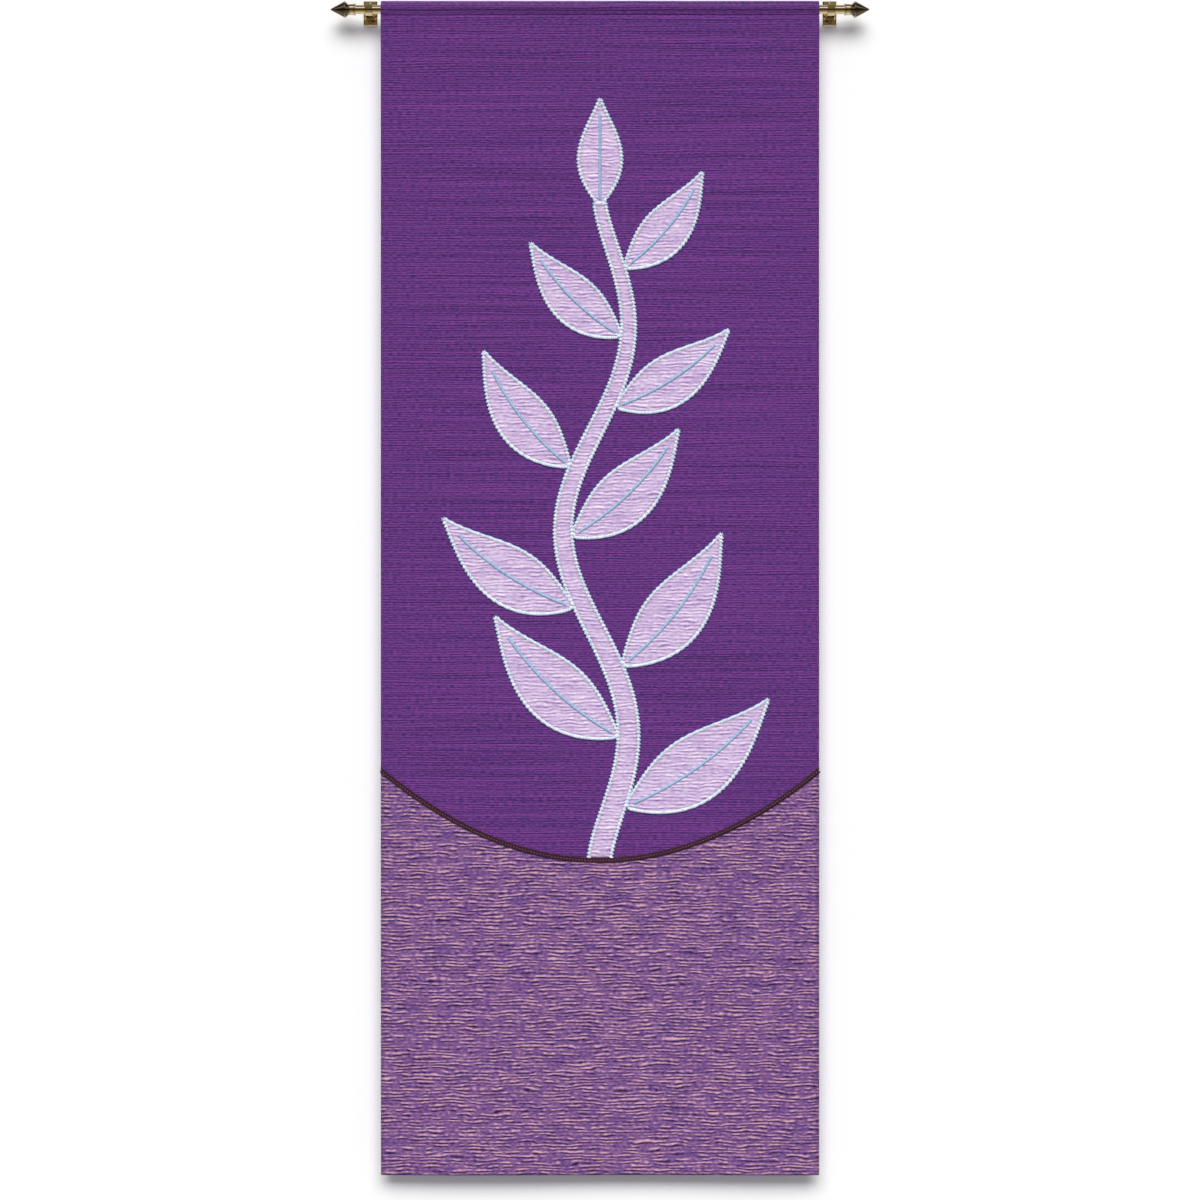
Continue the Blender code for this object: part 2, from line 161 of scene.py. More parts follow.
# The turned spears, from the open end of the socket to the tip, as radius and height.
SOCKET_DEPTH = 6.5 * MM
SPEAR = (
    (8.0 * MM, 0),
    (8.0 * MM, 1.2 * MM),
    (7.5 * MM, 1.8 * MM),
    (7.5 * MM, 7.5 * MM),
    (6.8 * MM, 9.0 * MM),
    (8.1 * MM, 10.6 * MM),
    (11.3 * MM, 14.0 * MM),
    (11.0 * MM, 14.8 * MM),
    (0.9 * MM, 33.3 * MM),
    (0, 34.0 * MM),
)

# The brackets' hooks and screws.
PLATE_THICK = 2.5 * MM
PLATE_BEVEL = 0.9 * MM
PLATE_CROWN = 0.55 * MM
HOOK_WIDTH = 10 * MM
HOOK_THICK = 2.2 * MM
HOOK_LIP = 5.5 * MM
HOOK_CORNER = 0.6 * MM
HOOK_BEVEL = 0.35 * MM
FOOT_SIZE = (11 * MM, 2.6 * MM, 6 * MM)
FOOT_DROP = 6.4 * MM
FOOT_BEVEL = 0.7 * MM
SCREW_OFFSET = 12.6 * MM
SCREW_HEAD = 2.6 * MM
SCREW_SHANK = 1.5 * MM
SCREW_RIM = 0.4 * MM
SCREW_DOME = 1.4 * MM
SLOT_WIDTH = 0.7 * MM
SLOT_DEPTH = 0.7 * MM
SLOT_SLANT = (2, 0, 1)
SPEAR_BEVEL = 0.18 * MM
ROD_CHAMFER = 0.4 * MM

STEM_BOTTOM = (
    CLOTH_BOTTOM + PANEL_MIDDLE + PANEL_RISE * (STEM_BASE_WIDTH / CLOTH_WIDTH) ** 2 + BRAID_WIDTH / 2 + GAP
)
STEM_HEIGHT = CLOTH_TOP - STEM_TOP - STEM_BOTTOM

# The stitches by machine, from the folded edge or the panel's edge.
STITCH_MARGIN = 2 * MM
PANEL_MARGIN = 3 * MM
PANEL_TOP_MARGIN = 4 * MM

# Length of the dashes along a thread, and how far apart in the noise two threads side by side read.
RIB_DASH = 26 * MM
SLUB_DASH = 17 * MM
ROW_STRIDE = 7.31
ROW_SLIP = 0.37
FLECK = 6 * MM
FLECK_ROWS = 1.9  # flecks to a thread's height
# Real yarn and its warp are several times finer: these are drawn coarse enough to show close up.
FIBRES = 7  # fine strands to a thread, drawn as bump
WARP_PITCH = 0.9 * MM
YARN_DEPTH = 0.5 * MM

# The metal's finish. Real marks of polishing are finer: these are drawn coarse enough to show close up.
BRASS = "polished brass, lacquered"
DULL_PATCH = 11.1 * MM
POLISH_MARK = 1.11 * MM
POLISH_DEPTH = 0.2 * MM

# Angles in degrees past which two faces meet in a crisp edge, or an edge gets its bevel.
METAL_CREASE = 35
CLOTH_CREASE = 60
SPEAR_BEVEL_FROM = 18
HOOK_BEVEL_FROM = 60

# Faces round a turned piece, and rows of faces up a plate.
TURNING_STEPS = 72
PLATE_ROWS = 24

# The studio: even light, the brightness of what lies beyond the wall, and of what the metal mirrors.
FILL_LIGHT = 0.36
BACKDROP = 0.88
GLEAM_AHEAD = 3.0
GLEAM_ASIDE = 0.5

# The photograph's frame in pixels: its side, the cloth's height, and how far the cloth's middle lies above
# the middle of the frame.
PHOTO_SIDE = 1200
PHOTO_CLOTH = 1174
PHOTO_RISE = 12
SENSOR_WIDTH = 36  # of the camera, in millimetres


def linear(code):
    """Turns an sRGB hex colour into linear red, green and blue."""
    parts = [int(code[i : i + 2], 16) / 255 for i in (1, 3, 5)]
    return tuple(c / 12.92 if c <= 0.04045 else ((c + 0.055) / 1.055) ** 2.4 for c in parts)


def colour(name, code, description):
    """A colour property whose default is an sRGB hex value."""
    return FloatVectorProperty(
        name=name, description=description, default=linear(code), subtype="COLOR", min=0, max=1
    )


def length(name, default, description):
    """A length property in metres."""
    return FloatProperty(name=name, description=description, default=default, unit="LENGTH", min=0)


class BannerSizes(bpy.types.PropertyGroup):
    """Sizes of the weave and the sewing."""

    # Ribs of such cloth can be finer than a pixel of the render, so these are coarse enough to show.
    rib_pitch: length("Rib pitch", 3.2 * MM, "From one rib of the ground cloth to the next")
    rib_height: length("Rib height", 0.36 * MM, "Height of a rib over the groove beside it")
    slub_pitch: length("Slub pitch", 4.8 * MM, "From one thick thread of the slub cloth to the next")
    slub_height: length("Slub height", 0.5 * MM, "Height of a thick thread over the groove beside it")
    outline_width: length("Outline width", 5.0 * MM, "Width of the raised stitching round each shape")
    outline_thread: length("Outline thread", 1.15 * MM, "Thickness of a bundle of outline thread")
    scallop_pitch: length("Scallop pitch", 5.0 * MM, "From one scallop of an outline to the next")
    cord_width: length("Midrib width", 4.2 * MM, "Width of the stitched midribs")
    camera_distance: length("Camera distance", 3.2, "From the camera to the cloth")


class BannerColours(bpy.types.PropertyGroup):
    """Colours of the cloths, threads and metal."""

    # The groove colours are partly painted shadow in each thread's groove, and the highlight colours partly
    # painted highlight on the crests; between them lies the cloth's own colour.
    ground_dark: colour("Ground groove", "#3A1F54", "Shadowed grooves of the ground cloth")
    ground: colour("Ground", "#5A3278", "Ribs of the ground cloth")
    ground_light: colour("Ground highlight", "#7C3C8C", "Brightest threads of the ground cloth")
    panel_dark: colour("Panel groove", "#2C1636", "Dark dashes under the panel's slubs")
    panel_violet: colour("Panel violet", "#614083", "Violet threads of the lower panel's cloth")
    panel: colour("Panel", "#825A89", "Middle colour of the lower panel's cloth")
    panel_light: colour("Panel slub", "#D0A2AE", "Brightest slubs of the lower panel")
    patch_dark: colour("Lilac groove", "#8A63A6", "Purple dashes of the lilac cloth")
    patch: colour("Lilac", "#C6AED3", "Threads of the lilac cloth")
    patch_light: colour("Lilac slub", "#F2E4F3", "Brightest slubs of the lilac cloth")
    # The outline's and midrib's crest colours are partly painted highlight on the blue thread; their edge
    # colours are the thread's blue with painted shade at the sides and in the gaps.
    outline: colour("Outline", "#F4F5FC", "Crest of the outline stitching")
    outline_edge_and_shade: colour("Outline edge", "#8FC8F0", "Sides and gaps of the outline stitching")
    cord: colour("Midrib", "#B4D0E6", "Crest of the midrib stitching")
    cord_edge_and_shade: colour("Midrib edge", "#7FA8D8", "Sides of the midrib stitching")
    braid: colour("Braid", "#3B1526", "Yarn of the braid")
    braid_dot: colour("Braid dots", "#9A5A88", "Small stitches down the middle of the braid")
    brass: colour("Brass", "#E6CF9E", "Polished brass")


def smooth(share):
    """A soft ramp from 0 to 1."""
    share = np.clip(share, 0, 1)
    return share * share * (3 - 2 * share)


def cloth_front(x, z):
    """Y of the ground cloth's front face below the pocket's seam.

    The pocket hangs from the rod's front, so the cloth starts ahead of the rod's centre and settles back
    further down.
    """
    x, z = np.broadcast_arrays(np.asarray(x, float), np.asarray(z, float))
    drop = np.maximum(0, SEAM_Z - z)
    sway = np.zeros_like(drop)
    for height, span, lean, phase in WAVES:
        sway += height * np.sin(math.tau * (x / span + lean * drop) + math.radians(phase))
    curl = CORNER_CURL * np.abs(2 * x / CLOTH_WIDTH) ** 4 * (drop / CLOTH_HEIGHT) ** 4
    fold = (SEAM_FOLD - CLOTH_THICK) * np.exp(-drop / FOLD_FADE)
    return ROD_Y - CLOTH_THICK - fold + smooth(drop / WAVE_FADE) * sway + curl


def panel_edge(x):
    """Height of the lower panel's top edge."""
    return CLOTH_BOTTOM + PANEL_MIDDLE + PANEL_RISE * (2 * x / CLOTH_WIDTH) ** 2


def panel_slope(x):
    """Slope of the panel's top edge."""
    return 2 * PANEL_RISE * (2 / CLOTH_WIDTH) ** 2 * x


def stem_point(share):
    """The stem's centreline, as (x, z), at a share of its height."""
    sway = STEM_SWAY * math.sin(math.pi * share) ** STEM_START if 0 < share < 1 else 0
    return Vector((sway * math.sin(math.tau * STEM_BENDS * share), STEM_BOTTOM + STEM_HEIGHT * share))


def stem_heading(share):
    """The stem's direction, as an angle from upright towards +X."""
    near = stem_point(max(0, share - STEM_PROBE))
    far = stem_point(min(1, share + STEM_PROBE))
    return math.atan2(far.x - near.x, far.y - near.y)


def stem_width(share):
    """The stem tapers from its base to the bud."""
    return STEM_BASE_WIDTH + (STEM_TOP_WIDTH - STEM_BASE_WIDTH) * share


def stem_spine(count):
    """Centres and half-width vectors along the stem, as arrays of (x, z)."""
    centres, halves = [], []
    for share in np.linspace(0, 1, count):
        level = float(smooth(share / STEM_SQUARE) * smooth((1 - share) / STEM_SQUARE))
        heading = stem_heading(share) * level
        centres.append(tuple(stem_point(share)))
        half = stem_width(share) / 2
        halves.append((math.cos(heading) * half, -math.sin(heading) * half))
    return np.array(centres), np.array(halves)


def leaf_spine(base, heading, turn, size, width, count):
    """Centres and half-width vectors of a leaf, on a smooth curve through the solid's own stations."""
    steps = np.arange(LEAF_STATIONS) / LEAF_STATIONS
    angles = heading + turn * steps
    moves = np.stack([np.sin(angles), np.cos(angles)], axis=1) * size / LEAF_STATIONS
    knots = np.array(base) + np.vstack([[0, 0], np.cumsum(moves, axis=0)])
    padded = np.vstack([2 * knots[0] - knots[1], knots, 2 * knots[-1] - knots[-2]])
    shares = np.linspace(0, 1, count)
    place = np.clip(shares * LEAF_STATIONS, 0, LEAF_STATIONS - 1e-9)
    cell = place.astype(int)
    t = (place - cell)[:, None]
    a, b, c, d = (padded[cell + i] for i in range(4))
    twice = 2 * b + (c - a) * t + (2 * a - 5 * b + 4 * c - d) * t**2 + (3 * b - a - 3 * c + d) * t**3
    centres = 0.5 * twice
    ends = (STALK_WIDTH * (1 - shares) + POINT_WIDTH * shares) / 2
    swell = np.maximum(0, np.sin(math.pi * shares**LEAF_WIDEST)) ** LEAF_TAPER
    half = ends + (width / 2 - ends) * swell
    angle = heading + turn * shares
    return centres, np.stack([np.cos(angle), -np.sin(angle)], axis=1) * half[:, None]


def leaf_layout():
    """Base, heading, turn and length of each leaf, as in the solids."""
    for i in range(LEAF_COUNT):
        rank = i / (LEAF_COUNT - 1)
        share = LEAF_FIRST + (LEAF_LAST - LEAF_FIRST) * rank
        side = 1 if i % 2 == 0 else -1
        stem = stem_heading(share)
        out = Vector((math.cos(stem), -math.sin(stem))) * side
        base = stem_point(share) + out * (stem_width(share) / 2 + STALK_CLEAR)
        size = LEAF_LONG + (LEAF_SHORT - LEAF_LONG) * rank
        heading = LEAF_FOLLOW * stem + side * math.radians(LEAF_SPREAD)
        yield f"leaf_{i + 1:02d}", tuple(base), heading, -side * math.radians(LEAF_CURL), size


def patch_spines():
    """Name, flat size and spine of every shape cut from the lilac cloth."""
    spines = []
    centres, halves = stem_spine(math.ceil(STEM_HEIGHT / PATCH_GRID))
    spines.append(("vine_stem", (STEM_BASE_WIDTH, STEM_HEIGHT), centres, halves))
    for name, base, heading, turn, size in leaf_layout():
        width = size * LEAF_SHAPE
        count = math.ceil(size / PATCH_GRID)
        centres, halves = leaf_spine(base, heading, turn, size, width, count)
        spines.append((name, (width, size), centres, halves))
    base = tuple(stem_point(1) + Vector((0, BUD_CLEAR)))
    count = math.ceil(BUD_LENGTH / PATCH_GRID)
    centres, halves = leaf_spine(base, 0, 0, BUD_LENGTH, BUD_WIDTH, count)
    spines.append(("bud", (BUD_WIDTH, BUD_LENGTH), centres, halves))
    return spines


def add(tree, kind, inputs=(), out=0, **settings):
    """Adds a node with its settings, sets or links its inputs, and returns one of its outputs."""
    node = tree.nodes.new(kind)
    for name, value in settings.items():
        setattr(node, name, value)
    pairs = inputs.items() if isinstance(inputs, dict) else enumerate(inputs)
    for key, value in pairs:
        if isinstance(value, bpy.types.NodeSocket):
            tree.links.new(value, node.inputs[key])
        elif value is not None:
            node.inputs[key].default_value = value
    return node if out is None else node.outputs[out]


def new_tree(name, sockets):
    """A Geometry Nodes tree with a geometry input, the named inputs and a geometry output."""
    tree = bpy.data.node_groups.new(name, "GeometryNodeTree")
    tree.interface.new_socket("Geometry", in_out="INPUT", socket_type="NodeSocketGeometry")
    for label, kind, default in sockets:
        made = tree.interface.new_socket(label, in_out="INPUT", socket_type=kind)
        if default is not None:
            made.default_value = default
    tree.interface.new_socket("Geometry", in_out="OUTPUT", socket_type="NodeSocketGeometry")
    return tree, tree.nodes.new("NodeGroupInput").outputs


def grown(obj, tree, **values):
    """Runs a Geometry Nodes tree on an object once, and keeps the plain mesh that it gives."""
    inputs = {key.replace("_", " ").title(): value for key, value in values.items()}
    modifier = obj.modifiers.new(tree.name, "NODES")
    modifier.node_group = tree
    for item in tree.interface.items_tree:
        if item.in_out == "INPUT" and item.name in inputs:
            modifier[item.identifier] = inputs[item.name]
    depsgraph = bpy.context.evaluated_depsgraph_get()
    made = bpy.data.meshes.new_from_object(
        obj.evaluated_get(depsgraph), preserve_all_data_layers=True, depsgraph=depsgraph
    )
    obj.modifiers.clear()
    obj.data = made
    made.name = obj.name
    return obj


def new_object(name, mesh, material=None):
    """Links a mesh into the scene under a name."""
    if material:
        mesh.materials.append(material)
    made = bpy.data.objects.new(name, mesh)
    bpy.context.scene.collection.objects.link(made)
    return made


def closed_mesh(name, points, faces, values=None):
    """A smooth mesh with outward faces and float attributes on its points."""
    mesh = bpy.data.meshes.new(name)
    mesh.from_pydata(np.asarray(points).tolist(), [], faces)
    for label, numbers in (values or {}).items():
        layer = mesh.attributes.new(label, "FLOAT", "POINT")
        layer.data.foreach_set("value", np.asarray(numbers, np.float32).ravel())
    bm = bmesh.new()
    bm.from_mesh(mesh)
    bmesh.ops.recalc_face_normals(bm, faces=bm.faces)
    bm.to_mesh(mesh)
    bm.free()
    mesh.shade_smooth()
    mesh.set_sharp_from_angle(angle=math.radians(CLOTH_CREASE))
    return mesh


def skin(first, stations, count):
    """Quads of a skin over rings of points whose numbers start at first."""
    index = first + np.arange(stations * count).reshape(stations, count)
    after = np.roll(index, -1, axis=1)
    return np.stack([index[:-1], after[:-1], after[1:], index[1:]], axis=-1).reshape(-1, 4).tolist()


def finished(obj, replaces=()):
    """Puts a piece on the root body and hides the solids that it stands for."""
    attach(obj, "root")
    if replaces:
        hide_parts(*replaces)
    return obj


def thread_dashes(tree, count, across, dash):
    """How strongly each thread stands out, from 0 to 1, changing every dash length along it."""
    row = add(tree, "ShaderNodeMath", (count,), operation="FLOOR")
    row = add(tree, "ShaderNodeMath", (row, ROW_STRIDE), operation="MULTIPLY")
    along = add(tree, "ShaderNodeMath", (across, dash), operation="DIVIDE")
    along = add(tree, "ShaderNodeMath", (row, ROW_SLIP, along), operation="MULTIPLY_ADD")
    place = add(tree, "ShaderNodeCombineXYZ", (along, row, 0.0))
    smooth_noise = {"Vector": place, "Scale": 1.0, "Detail": 1.0}
    noise = add(tree, "ShaderNodeTexNoise", smooth_noise, noise_dimensions="2D")
    return add(tree, "ShaderNodeMapRange", (noise, 0.36, 0.64, 0.0, 1.0))


def unevenness(tree, along, rows, layer, detail):
    """Noise that changes along the threads and from row to row; each layer has noise of its own."""
    place = add(tree, "ShaderNodeCombineXYZ", (along, rows, layer))
    return add(tree, "ShaderNodeTexNoise", {"Vector": place, "Scale": 1.0, "Detail": detail})


def rib_tree():
    """Ribs across a cloth: wandering rows of thread that stand out more or less along each row."""
    tree, given = new_tree(
        "Woven ribs",
        (
            ("Pitch", "NodeSocketFloat", 4 * MM),
            ("Height", "NodeSocketFloat", 0.4 * MM),
            ("Wander", "NodeSocketFloat", 2.0),
            ("Wander Length", "NodeSocketFloat", 70 * MM),
            ("Wander Rows", "NodeSocketFloat", 5.0),
            ("Jitter", "NodeSocketFloat", 0.2),
            ("Dash Length", "NodeSocketFloat", 16 * MM),
            ("Least", "NodeSocketFloat", 0.4),
            ("Cloth", "NodeSocketMaterial", None),
        ),
    )
    run = add(tree, "GeometryNodeInputNamedAttribute", ("run",), data_type="FLOAT")
    face = add(tree, "GeometryNodeInputNamedAttribute", ("face",), data_type="FLOAT")
    across = add(tree, "ShaderNodeSeparateXYZ", (add(tree, "GeometryNodeInputPosition"),))
    rows = add(tree, "ShaderNodeMath", (run, given["Pitch"]), operation="DIVIDE")
    far = add(tree, "ShaderNodeMath", (across, given["Wander Length"]), operation="DIVIDE")
    slow = add(tree, "ShaderNodeMath", (rows, given["Wander Rows"]), operation="DIVIDE")
    place = add(tree, "ShaderNodeCombineXYZ", (far, slow, 0.0))
    bend = rows
    for amount, detail, pace in (("Wander", 1.0, (1.0, 1.0, 0.0)), ("Jitter", 0.0, (3.1, 2.6, 0.0))):
        paced = add(tree, "ShaderNodeVectorMath", (place, pace), operation="MULTIPLY")
        smooth_noise = {"Vector": paced, "Scale": 1.0, "Detail": detail}
        shift = add(tree, "ShaderNodeTexNoise", smooth_noise, noise_dimensions="2D")
        shift = add(tree, "ShaderNodeMath", (shift, 0.5), operation="SUBTRACT")
        bend = add(tree, "ShaderNodeMath", (shift, given[amount], bend), operation="MULTIPLY_ADD")
    dash = thread_dashes(tree, bend, across, given["Dash Length"])
    turn = add(tree, "ShaderNodeMath", (bend, math.tau), operation="MULTIPLY")
    crest = add(tree, "ShaderNodeMath", (turn,), operation="COSINE")
    crest = add(tree, "ShaderNodeMath", (crest, -0.5, 0.5), operation="MULTIPLY_ADD")
    thick = add(tree, "ShaderNodeMapRange", (dash, 0.0, 1.0, given["Least"], 1.0))
    rise = add(tree, "ShaderNodeMath", (crest, thick), operation="MULTIPLY")
    rise = add(tree, "ShaderNodeMath", (rise, given["Height"]), operation="MULTIPLY")
    rise = add(tree, "ShaderNodeMath", (rise, face), operation="MULTIPLY")
    push = {0: add(tree, "GeometryNodeInputNormal"), "Scale": rise}
    push = add(tree, "ShaderNodeVectorMath", push, operation="SCALE")
    woven = add(
        tree, "GeometryNodeStoreNamedAttribute",
        {"Geometry": given["Geometry"], "Name": "rib", "Value": bend}, data_type="FLOAT", domain="POINT",
    )
    woven = add(tree, "GeometryNodeSetPosition", {"Geometry": woven, "Offset": push})
    woven = add(tree, "GeometryNodeRealizeInstances", (woven,))
    woven = add(tree, "GeometryNodeSetMaterial", {"Geometry": woven, "Material": given["Cloth"]})
    add(tree, "NodeGroupOutput", (woven,), out=None)
    return tree


def sewing_tree():
    """Threads laid side by side along a path: each an arch from one side of the path to the other."""
    tree, given = new_tree(
        "Sewn threads",
        (
            ("Width", "NodeSocketFloat", 4 * MM),
            ("Spacing", "NodeSocketFloat", 1.1 * MM),
            ("Thread", "NodeSocketFloat", 1 * MM),
            ("Start Height", "NodeSocketFloat", 0.0),
            ("Crown", "NodeSocketFloat", 3 * MM),
            ("End Height", "NodeSocketFloat", 0.0),
            ("Slant", "NodeSocketFloat", 0.0),
            ("Offset", "NodeSocketFloat", 0.0),
            ("Scallop", "NodeSocketFloat", 0.0),
            ("Scallop Pitch", "NodeSocketFloat", 5 * MM),
            ("Scallop Shade", "NodeSocketFloat", 0.0),
            ("Up", "NodeSocketVector", (0, -1, 0)),
            ("Yarn", "NodeSocketMaterial", None),
        ),
    )
    half = add(tree, "ShaderNodeMath", (given["Width"], 0.5), operation="MULTIPLY")
    back = add(tree, "ShaderNodeMath", (half, -1.0), operation="MULTIPLY")
    start = add(tree, "ShaderNodeCombineXYZ", (back, 0.0, given["Start Height"]))
    crown = add(tree, "ShaderNodeCombineXYZ", (0.0, 0.0, given["Crown"]))
    end = add(tree, "ShaderNodeCombineXYZ", (half, 0.0, given["End Height"]))
    arch = add(
        tree, "GeometryNodeCurveQuadraticBezier",
        {"Resolution": 4, "Start": start, "Middle": crown, "End": end},
    )
    arch = add(
        tree, "GeometryNodeStoreNamedAttribute",
        {"Geometry": arch, "Name": "across", "Value": add(tree, "GeometryNodeSplineParameter")},
        data_type="FLOAT", domain="POINT",
    )
    radius = add(tree, "ShaderNodeMath", (given["Thread"], 0.5), operation="MULTIPLY")
    ring = add(tree, "GeometryNodeCurvePrimitiveCircle", {"Resolution": 4, "Radius": radius})
    thread = add(tree, "GeometryNodeCurveToMesh", {"Curve": arch, "Profile Curve": ring, "Fill Caps": True})
    path = add(tree, "GeometryNodeMeshToCurve", (given["Geometry"],))
    path = add(tree, "GeometryNodeResampleCurve", {"Curve": path, "Length": given["Spacing"]}, mode="LENGTH")
    tangent = add(tree, "GeometryNodeInputTangent")
    side = add(tree, "ShaderNodeVectorMath", (given["Up"], tangent), operation="CROSS_PRODUCT")
    shift = add(tree, "ShaderNodeVectorMath", {0: side, "Scale": given["Offset"]}, operation="SCALE")
    path = add(tree, "GeometryNodeSetPosition", {"Geometry": path, "Offset": shift})
    ahead = add(tree, "ShaderNodeMath", (given["Slant"],), operation="SINE")
    aside = add(tree, "ShaderNodeMath", (given["Slant"],), operation="COSINE")
    ahead = add(tree, "ShaderNodeVectorMath", {0: tangent, "Scale": ahead}, operation="SCALE")
    aside = add(tree, "ShaderNodeVectorMath", {0: side, "Scale": aside}, operation="SCALE")
    lie = add(tree, "ShaderNodeVectorMath", (ahead, aside), operation="ADD")
    turn = add(
        tree, "FunctionNodeAxesToRotation",
        {"Primary Axis": given["Up"], "Secondary Axis": lie}, primary_axis="Z", secondary_axis="X",
    )
    place = add(tree, "ShaderNodeSeparateXYZ", (add(tree, "GeometryNodeInputPosition"),), out="Z")
    beat = add(tree, "ShaderNodeMath", (place, given["Scallop Pitch"]), operation="DIVIDE")
    beat = add(tree, "ShaderNodeMath", (beat, math.tau), operation="MULTIPLY")
    beat = add(tree, "ShaderNodeMath", (beat,), operation="COSINE")
    steep = add(tree, "ShaderNodeSeparateXYZ", (tangent,), out="Z")
    steep = add(tree, "ShaderNodeMath", (steep,), operation="ABSOLUTE")
    beat = add(tree, "ShaderNodeMath", (beat, steep), operation="MULTIPLY")
    wide = add(tree, "ShaderNodeMath", (beat, given["Scallop"], 1.0), operation="MULTIPLY_ADD")
    size = add(tree, "ShaderNodeCombineXYZ", (wide, 1.0, wide))
    laid = add(
        tree, "GeometryNodeInstanceOnPoints",
        {"Points": path, "Instance": thread, "Rotation": turn, "Scale": size},
    )
    # shade: each bundle's random tone, plus painted shade in the gaps between scallops.
    loose = add(tree, "FunctionNodeRandomValue", {"Seed": 7}, out=1, data_type="FLOAT")
    shade = add(tree, "ShaderNodeMath", (beat, given["Scallop Shade"], loose), operation="MULTIPLY_ADD")
    laid = add(
        tree, "GeometryNodeStoreNamedAttribute",
        {"Geometry": laid, "Name": "shade", "Value": shade}, data_type="FLOAT", domain="INSTANCE",
    )
    laid = add(tree, "GeometryNodeRealizeInstances", (laid,))
    laid = add(tree, "GeometryNodeSetShadeSmooth", (laid,))
    laid = add(tree, "GeometryNodeSetMaterial", {"Geometry": laid, "Material": given["Yarn"]})
    add(tree, "NodeGroupOutput", (laid,), out=None)
    return tree


def tree_named(name, maker):
    """A node tree that is built once and then shared."""
    return bpy.data.node_groups.get(name) or maker()


def new_material(name):
    """An empty material: its tree and its Principled shader."""
    made = bpy.data.materials.new(name)
    made.use_nodes = True
    return made, made.node_tree, made.node_tree.nodes["Principled BSDF"]


def slub_cloth(name, stops, dash, drift_size, shares, roughness, sheen):
    """Woven cloth with crosswise slubs.

    Each thread has a painted highlight on its crest, in dashes, and the dark line of a painted shadow
    beneath it, and the cloth has drifts where one colour of thread or the other comes to the front. The rib
    attribute counts the threads, so colour and relief agree. An attribute on the mesh paints shade into the
    colour, over the rod pocket and along rims beside the sewing. drift_size is a drift's length and its
    number of rows; shares are the parts that the thread's painted profile, the drifts, the short flecks and
    the least strong dash play.
    """
    made, tree, shader = new_material(name)
    of_profile, of_drift, of_fleck, least = shares
    count = add(tree, "ShaderNodeAttribute", attribute_name="rib", out="Fac")
    across = add(tree, "ShaderNodeSeparateXYZ", (add(tree, "ShaderNodeTexCoord", out="Object"),))
    strength = thread_dashes(tree, count, across, dash)
    strength = add(tree, "ShaderNodeMapRange", (strength, 0.0, 1.0, least * of_profile, of_profile))
    # Painted light: each thread's profile runs from a painted shadow low in its groove to a painted
    # highlight on its crest.
    part = add(tree, "ShaderNodeMath", (count,), operation="FRACT")
    profile = add(tree, "ShaderNodeValToRGB", (part,), out=None)
    levels = profile.color_ramp.elements
    levels[0].position, levels[0].color = 0.0, (0.0, 0.0, 0.0, 1)
    levels[1].position, levels[1].color = 1.0, (0.4, 0.4, 0.4, 1)
    for place, level in ((0.14, 0.02), (0.36, 0.5), (0.58, 1.0), (0.78, 0.66)):
        levels.new(place).color = (level, level, level, 1)
    profile = add(tree, "ShaderNodeMath", (profile.outputs[0], 0.5), operation="SUBTRACT")
    value = add(tree, "ShaderNodeMath", (profile, strength, 0.5), operation="MULTIPLY_ADD")
    far = add(tree, "ShaderNodeMath", (across, drift_size[0]), operation="DIVIDE")
    slow = add(tree, "ShaderNodeMath", (count, drift_size[1]), operation="DIVIDE")
    drift = unevenness(tree, far, slow, layer=5.0, detail=2.0)
    drift = add(tree, "ShaderNodeMath", (drift, 0.5), operation="SUBTRACT")
    value = add(tree, "ShaderNodeMath", (drift, of_drift, value), operation="MULTIPLY_ADD")
    near = add(tree, "ShaderNodeMath", (across, FLECK), operation="DIVIDE")
    often = add(tree, "ShaderNodeMath", (count, FLECK_ROWS), operation="MULTIPLY")
    fleck = unevenness(tree, near, often, layer=9.0, detail=2.0)
    fleck = add(tree, "ShaderNodeMapRange", (fleck, 0.3, 0.7, -0.5, 0.5))
    value = add(tree, "ShaderNodeMath", (fleck, of_fleck, value), operation="MULTIPLY_ADD")
    ramp = add(tree, "ShaderNodeValToRGB", (value,), out=None)
    ends = ramp.color_ramp.elements
    ends[0].position, ends[0].color = stops[0][0], (*stops[0][1], 1)
    ends[1].position, ends[1].color = stops[-1][0], (*stops[-1][1], 1)
    for place, ink in stops[1:-1]:
        ends.new(place).color = (*ink, 1)
    # Painted shade from the mesh's attribute darkens the colour.
    painted_shade = add(tree, "ShaderNodeAttribute", attribute_name="painted_shade", out="Fac")
    painted_shade_ink = add(tree, "ShaderNodeVectorMath", {0: ramp.outputs[0], "Scale": painted_shade}, operation="SCALE")
    tree.links.new(painted_shade_ink, shader.inputs["Base Color"])
    fibre = add(tree, "ShaderNodeMath", (count, FIBRES), operation="MULTIPLY")
    fibre = unevenness(tree, near, fibre, layer=2.0, detail=1.0)
    warp = add(tree, "ShaderNodeMath", (across, math.tau / WARP_PITCH), operation="MULTIPLY")
    warp = add(tree, "ShaderNodeMath", (warp,), operation="SINE")
    yarn = add(tree, "ShaderNodeMath", (warp, 0.2, fibre), operation="MULTIPLY_ADD")
    relief = {"Strength": 0.5, "Distance": YARN_DEPTH, "Height": yarn}
    tree.links.new(add(tree, "ShaderNodeBump", relief, out="Normal"), shader.inputs["Normal"])
    shader.inputs["Roughness"].default_value = roughness
    shader.inputs["Sheen Weight"].default_value = sheen
    shader.inputs["Sheen Roughness"].default_value = 0.5
    shader.inputs["Specular IOR Level"].default_value = 0.2
    return made


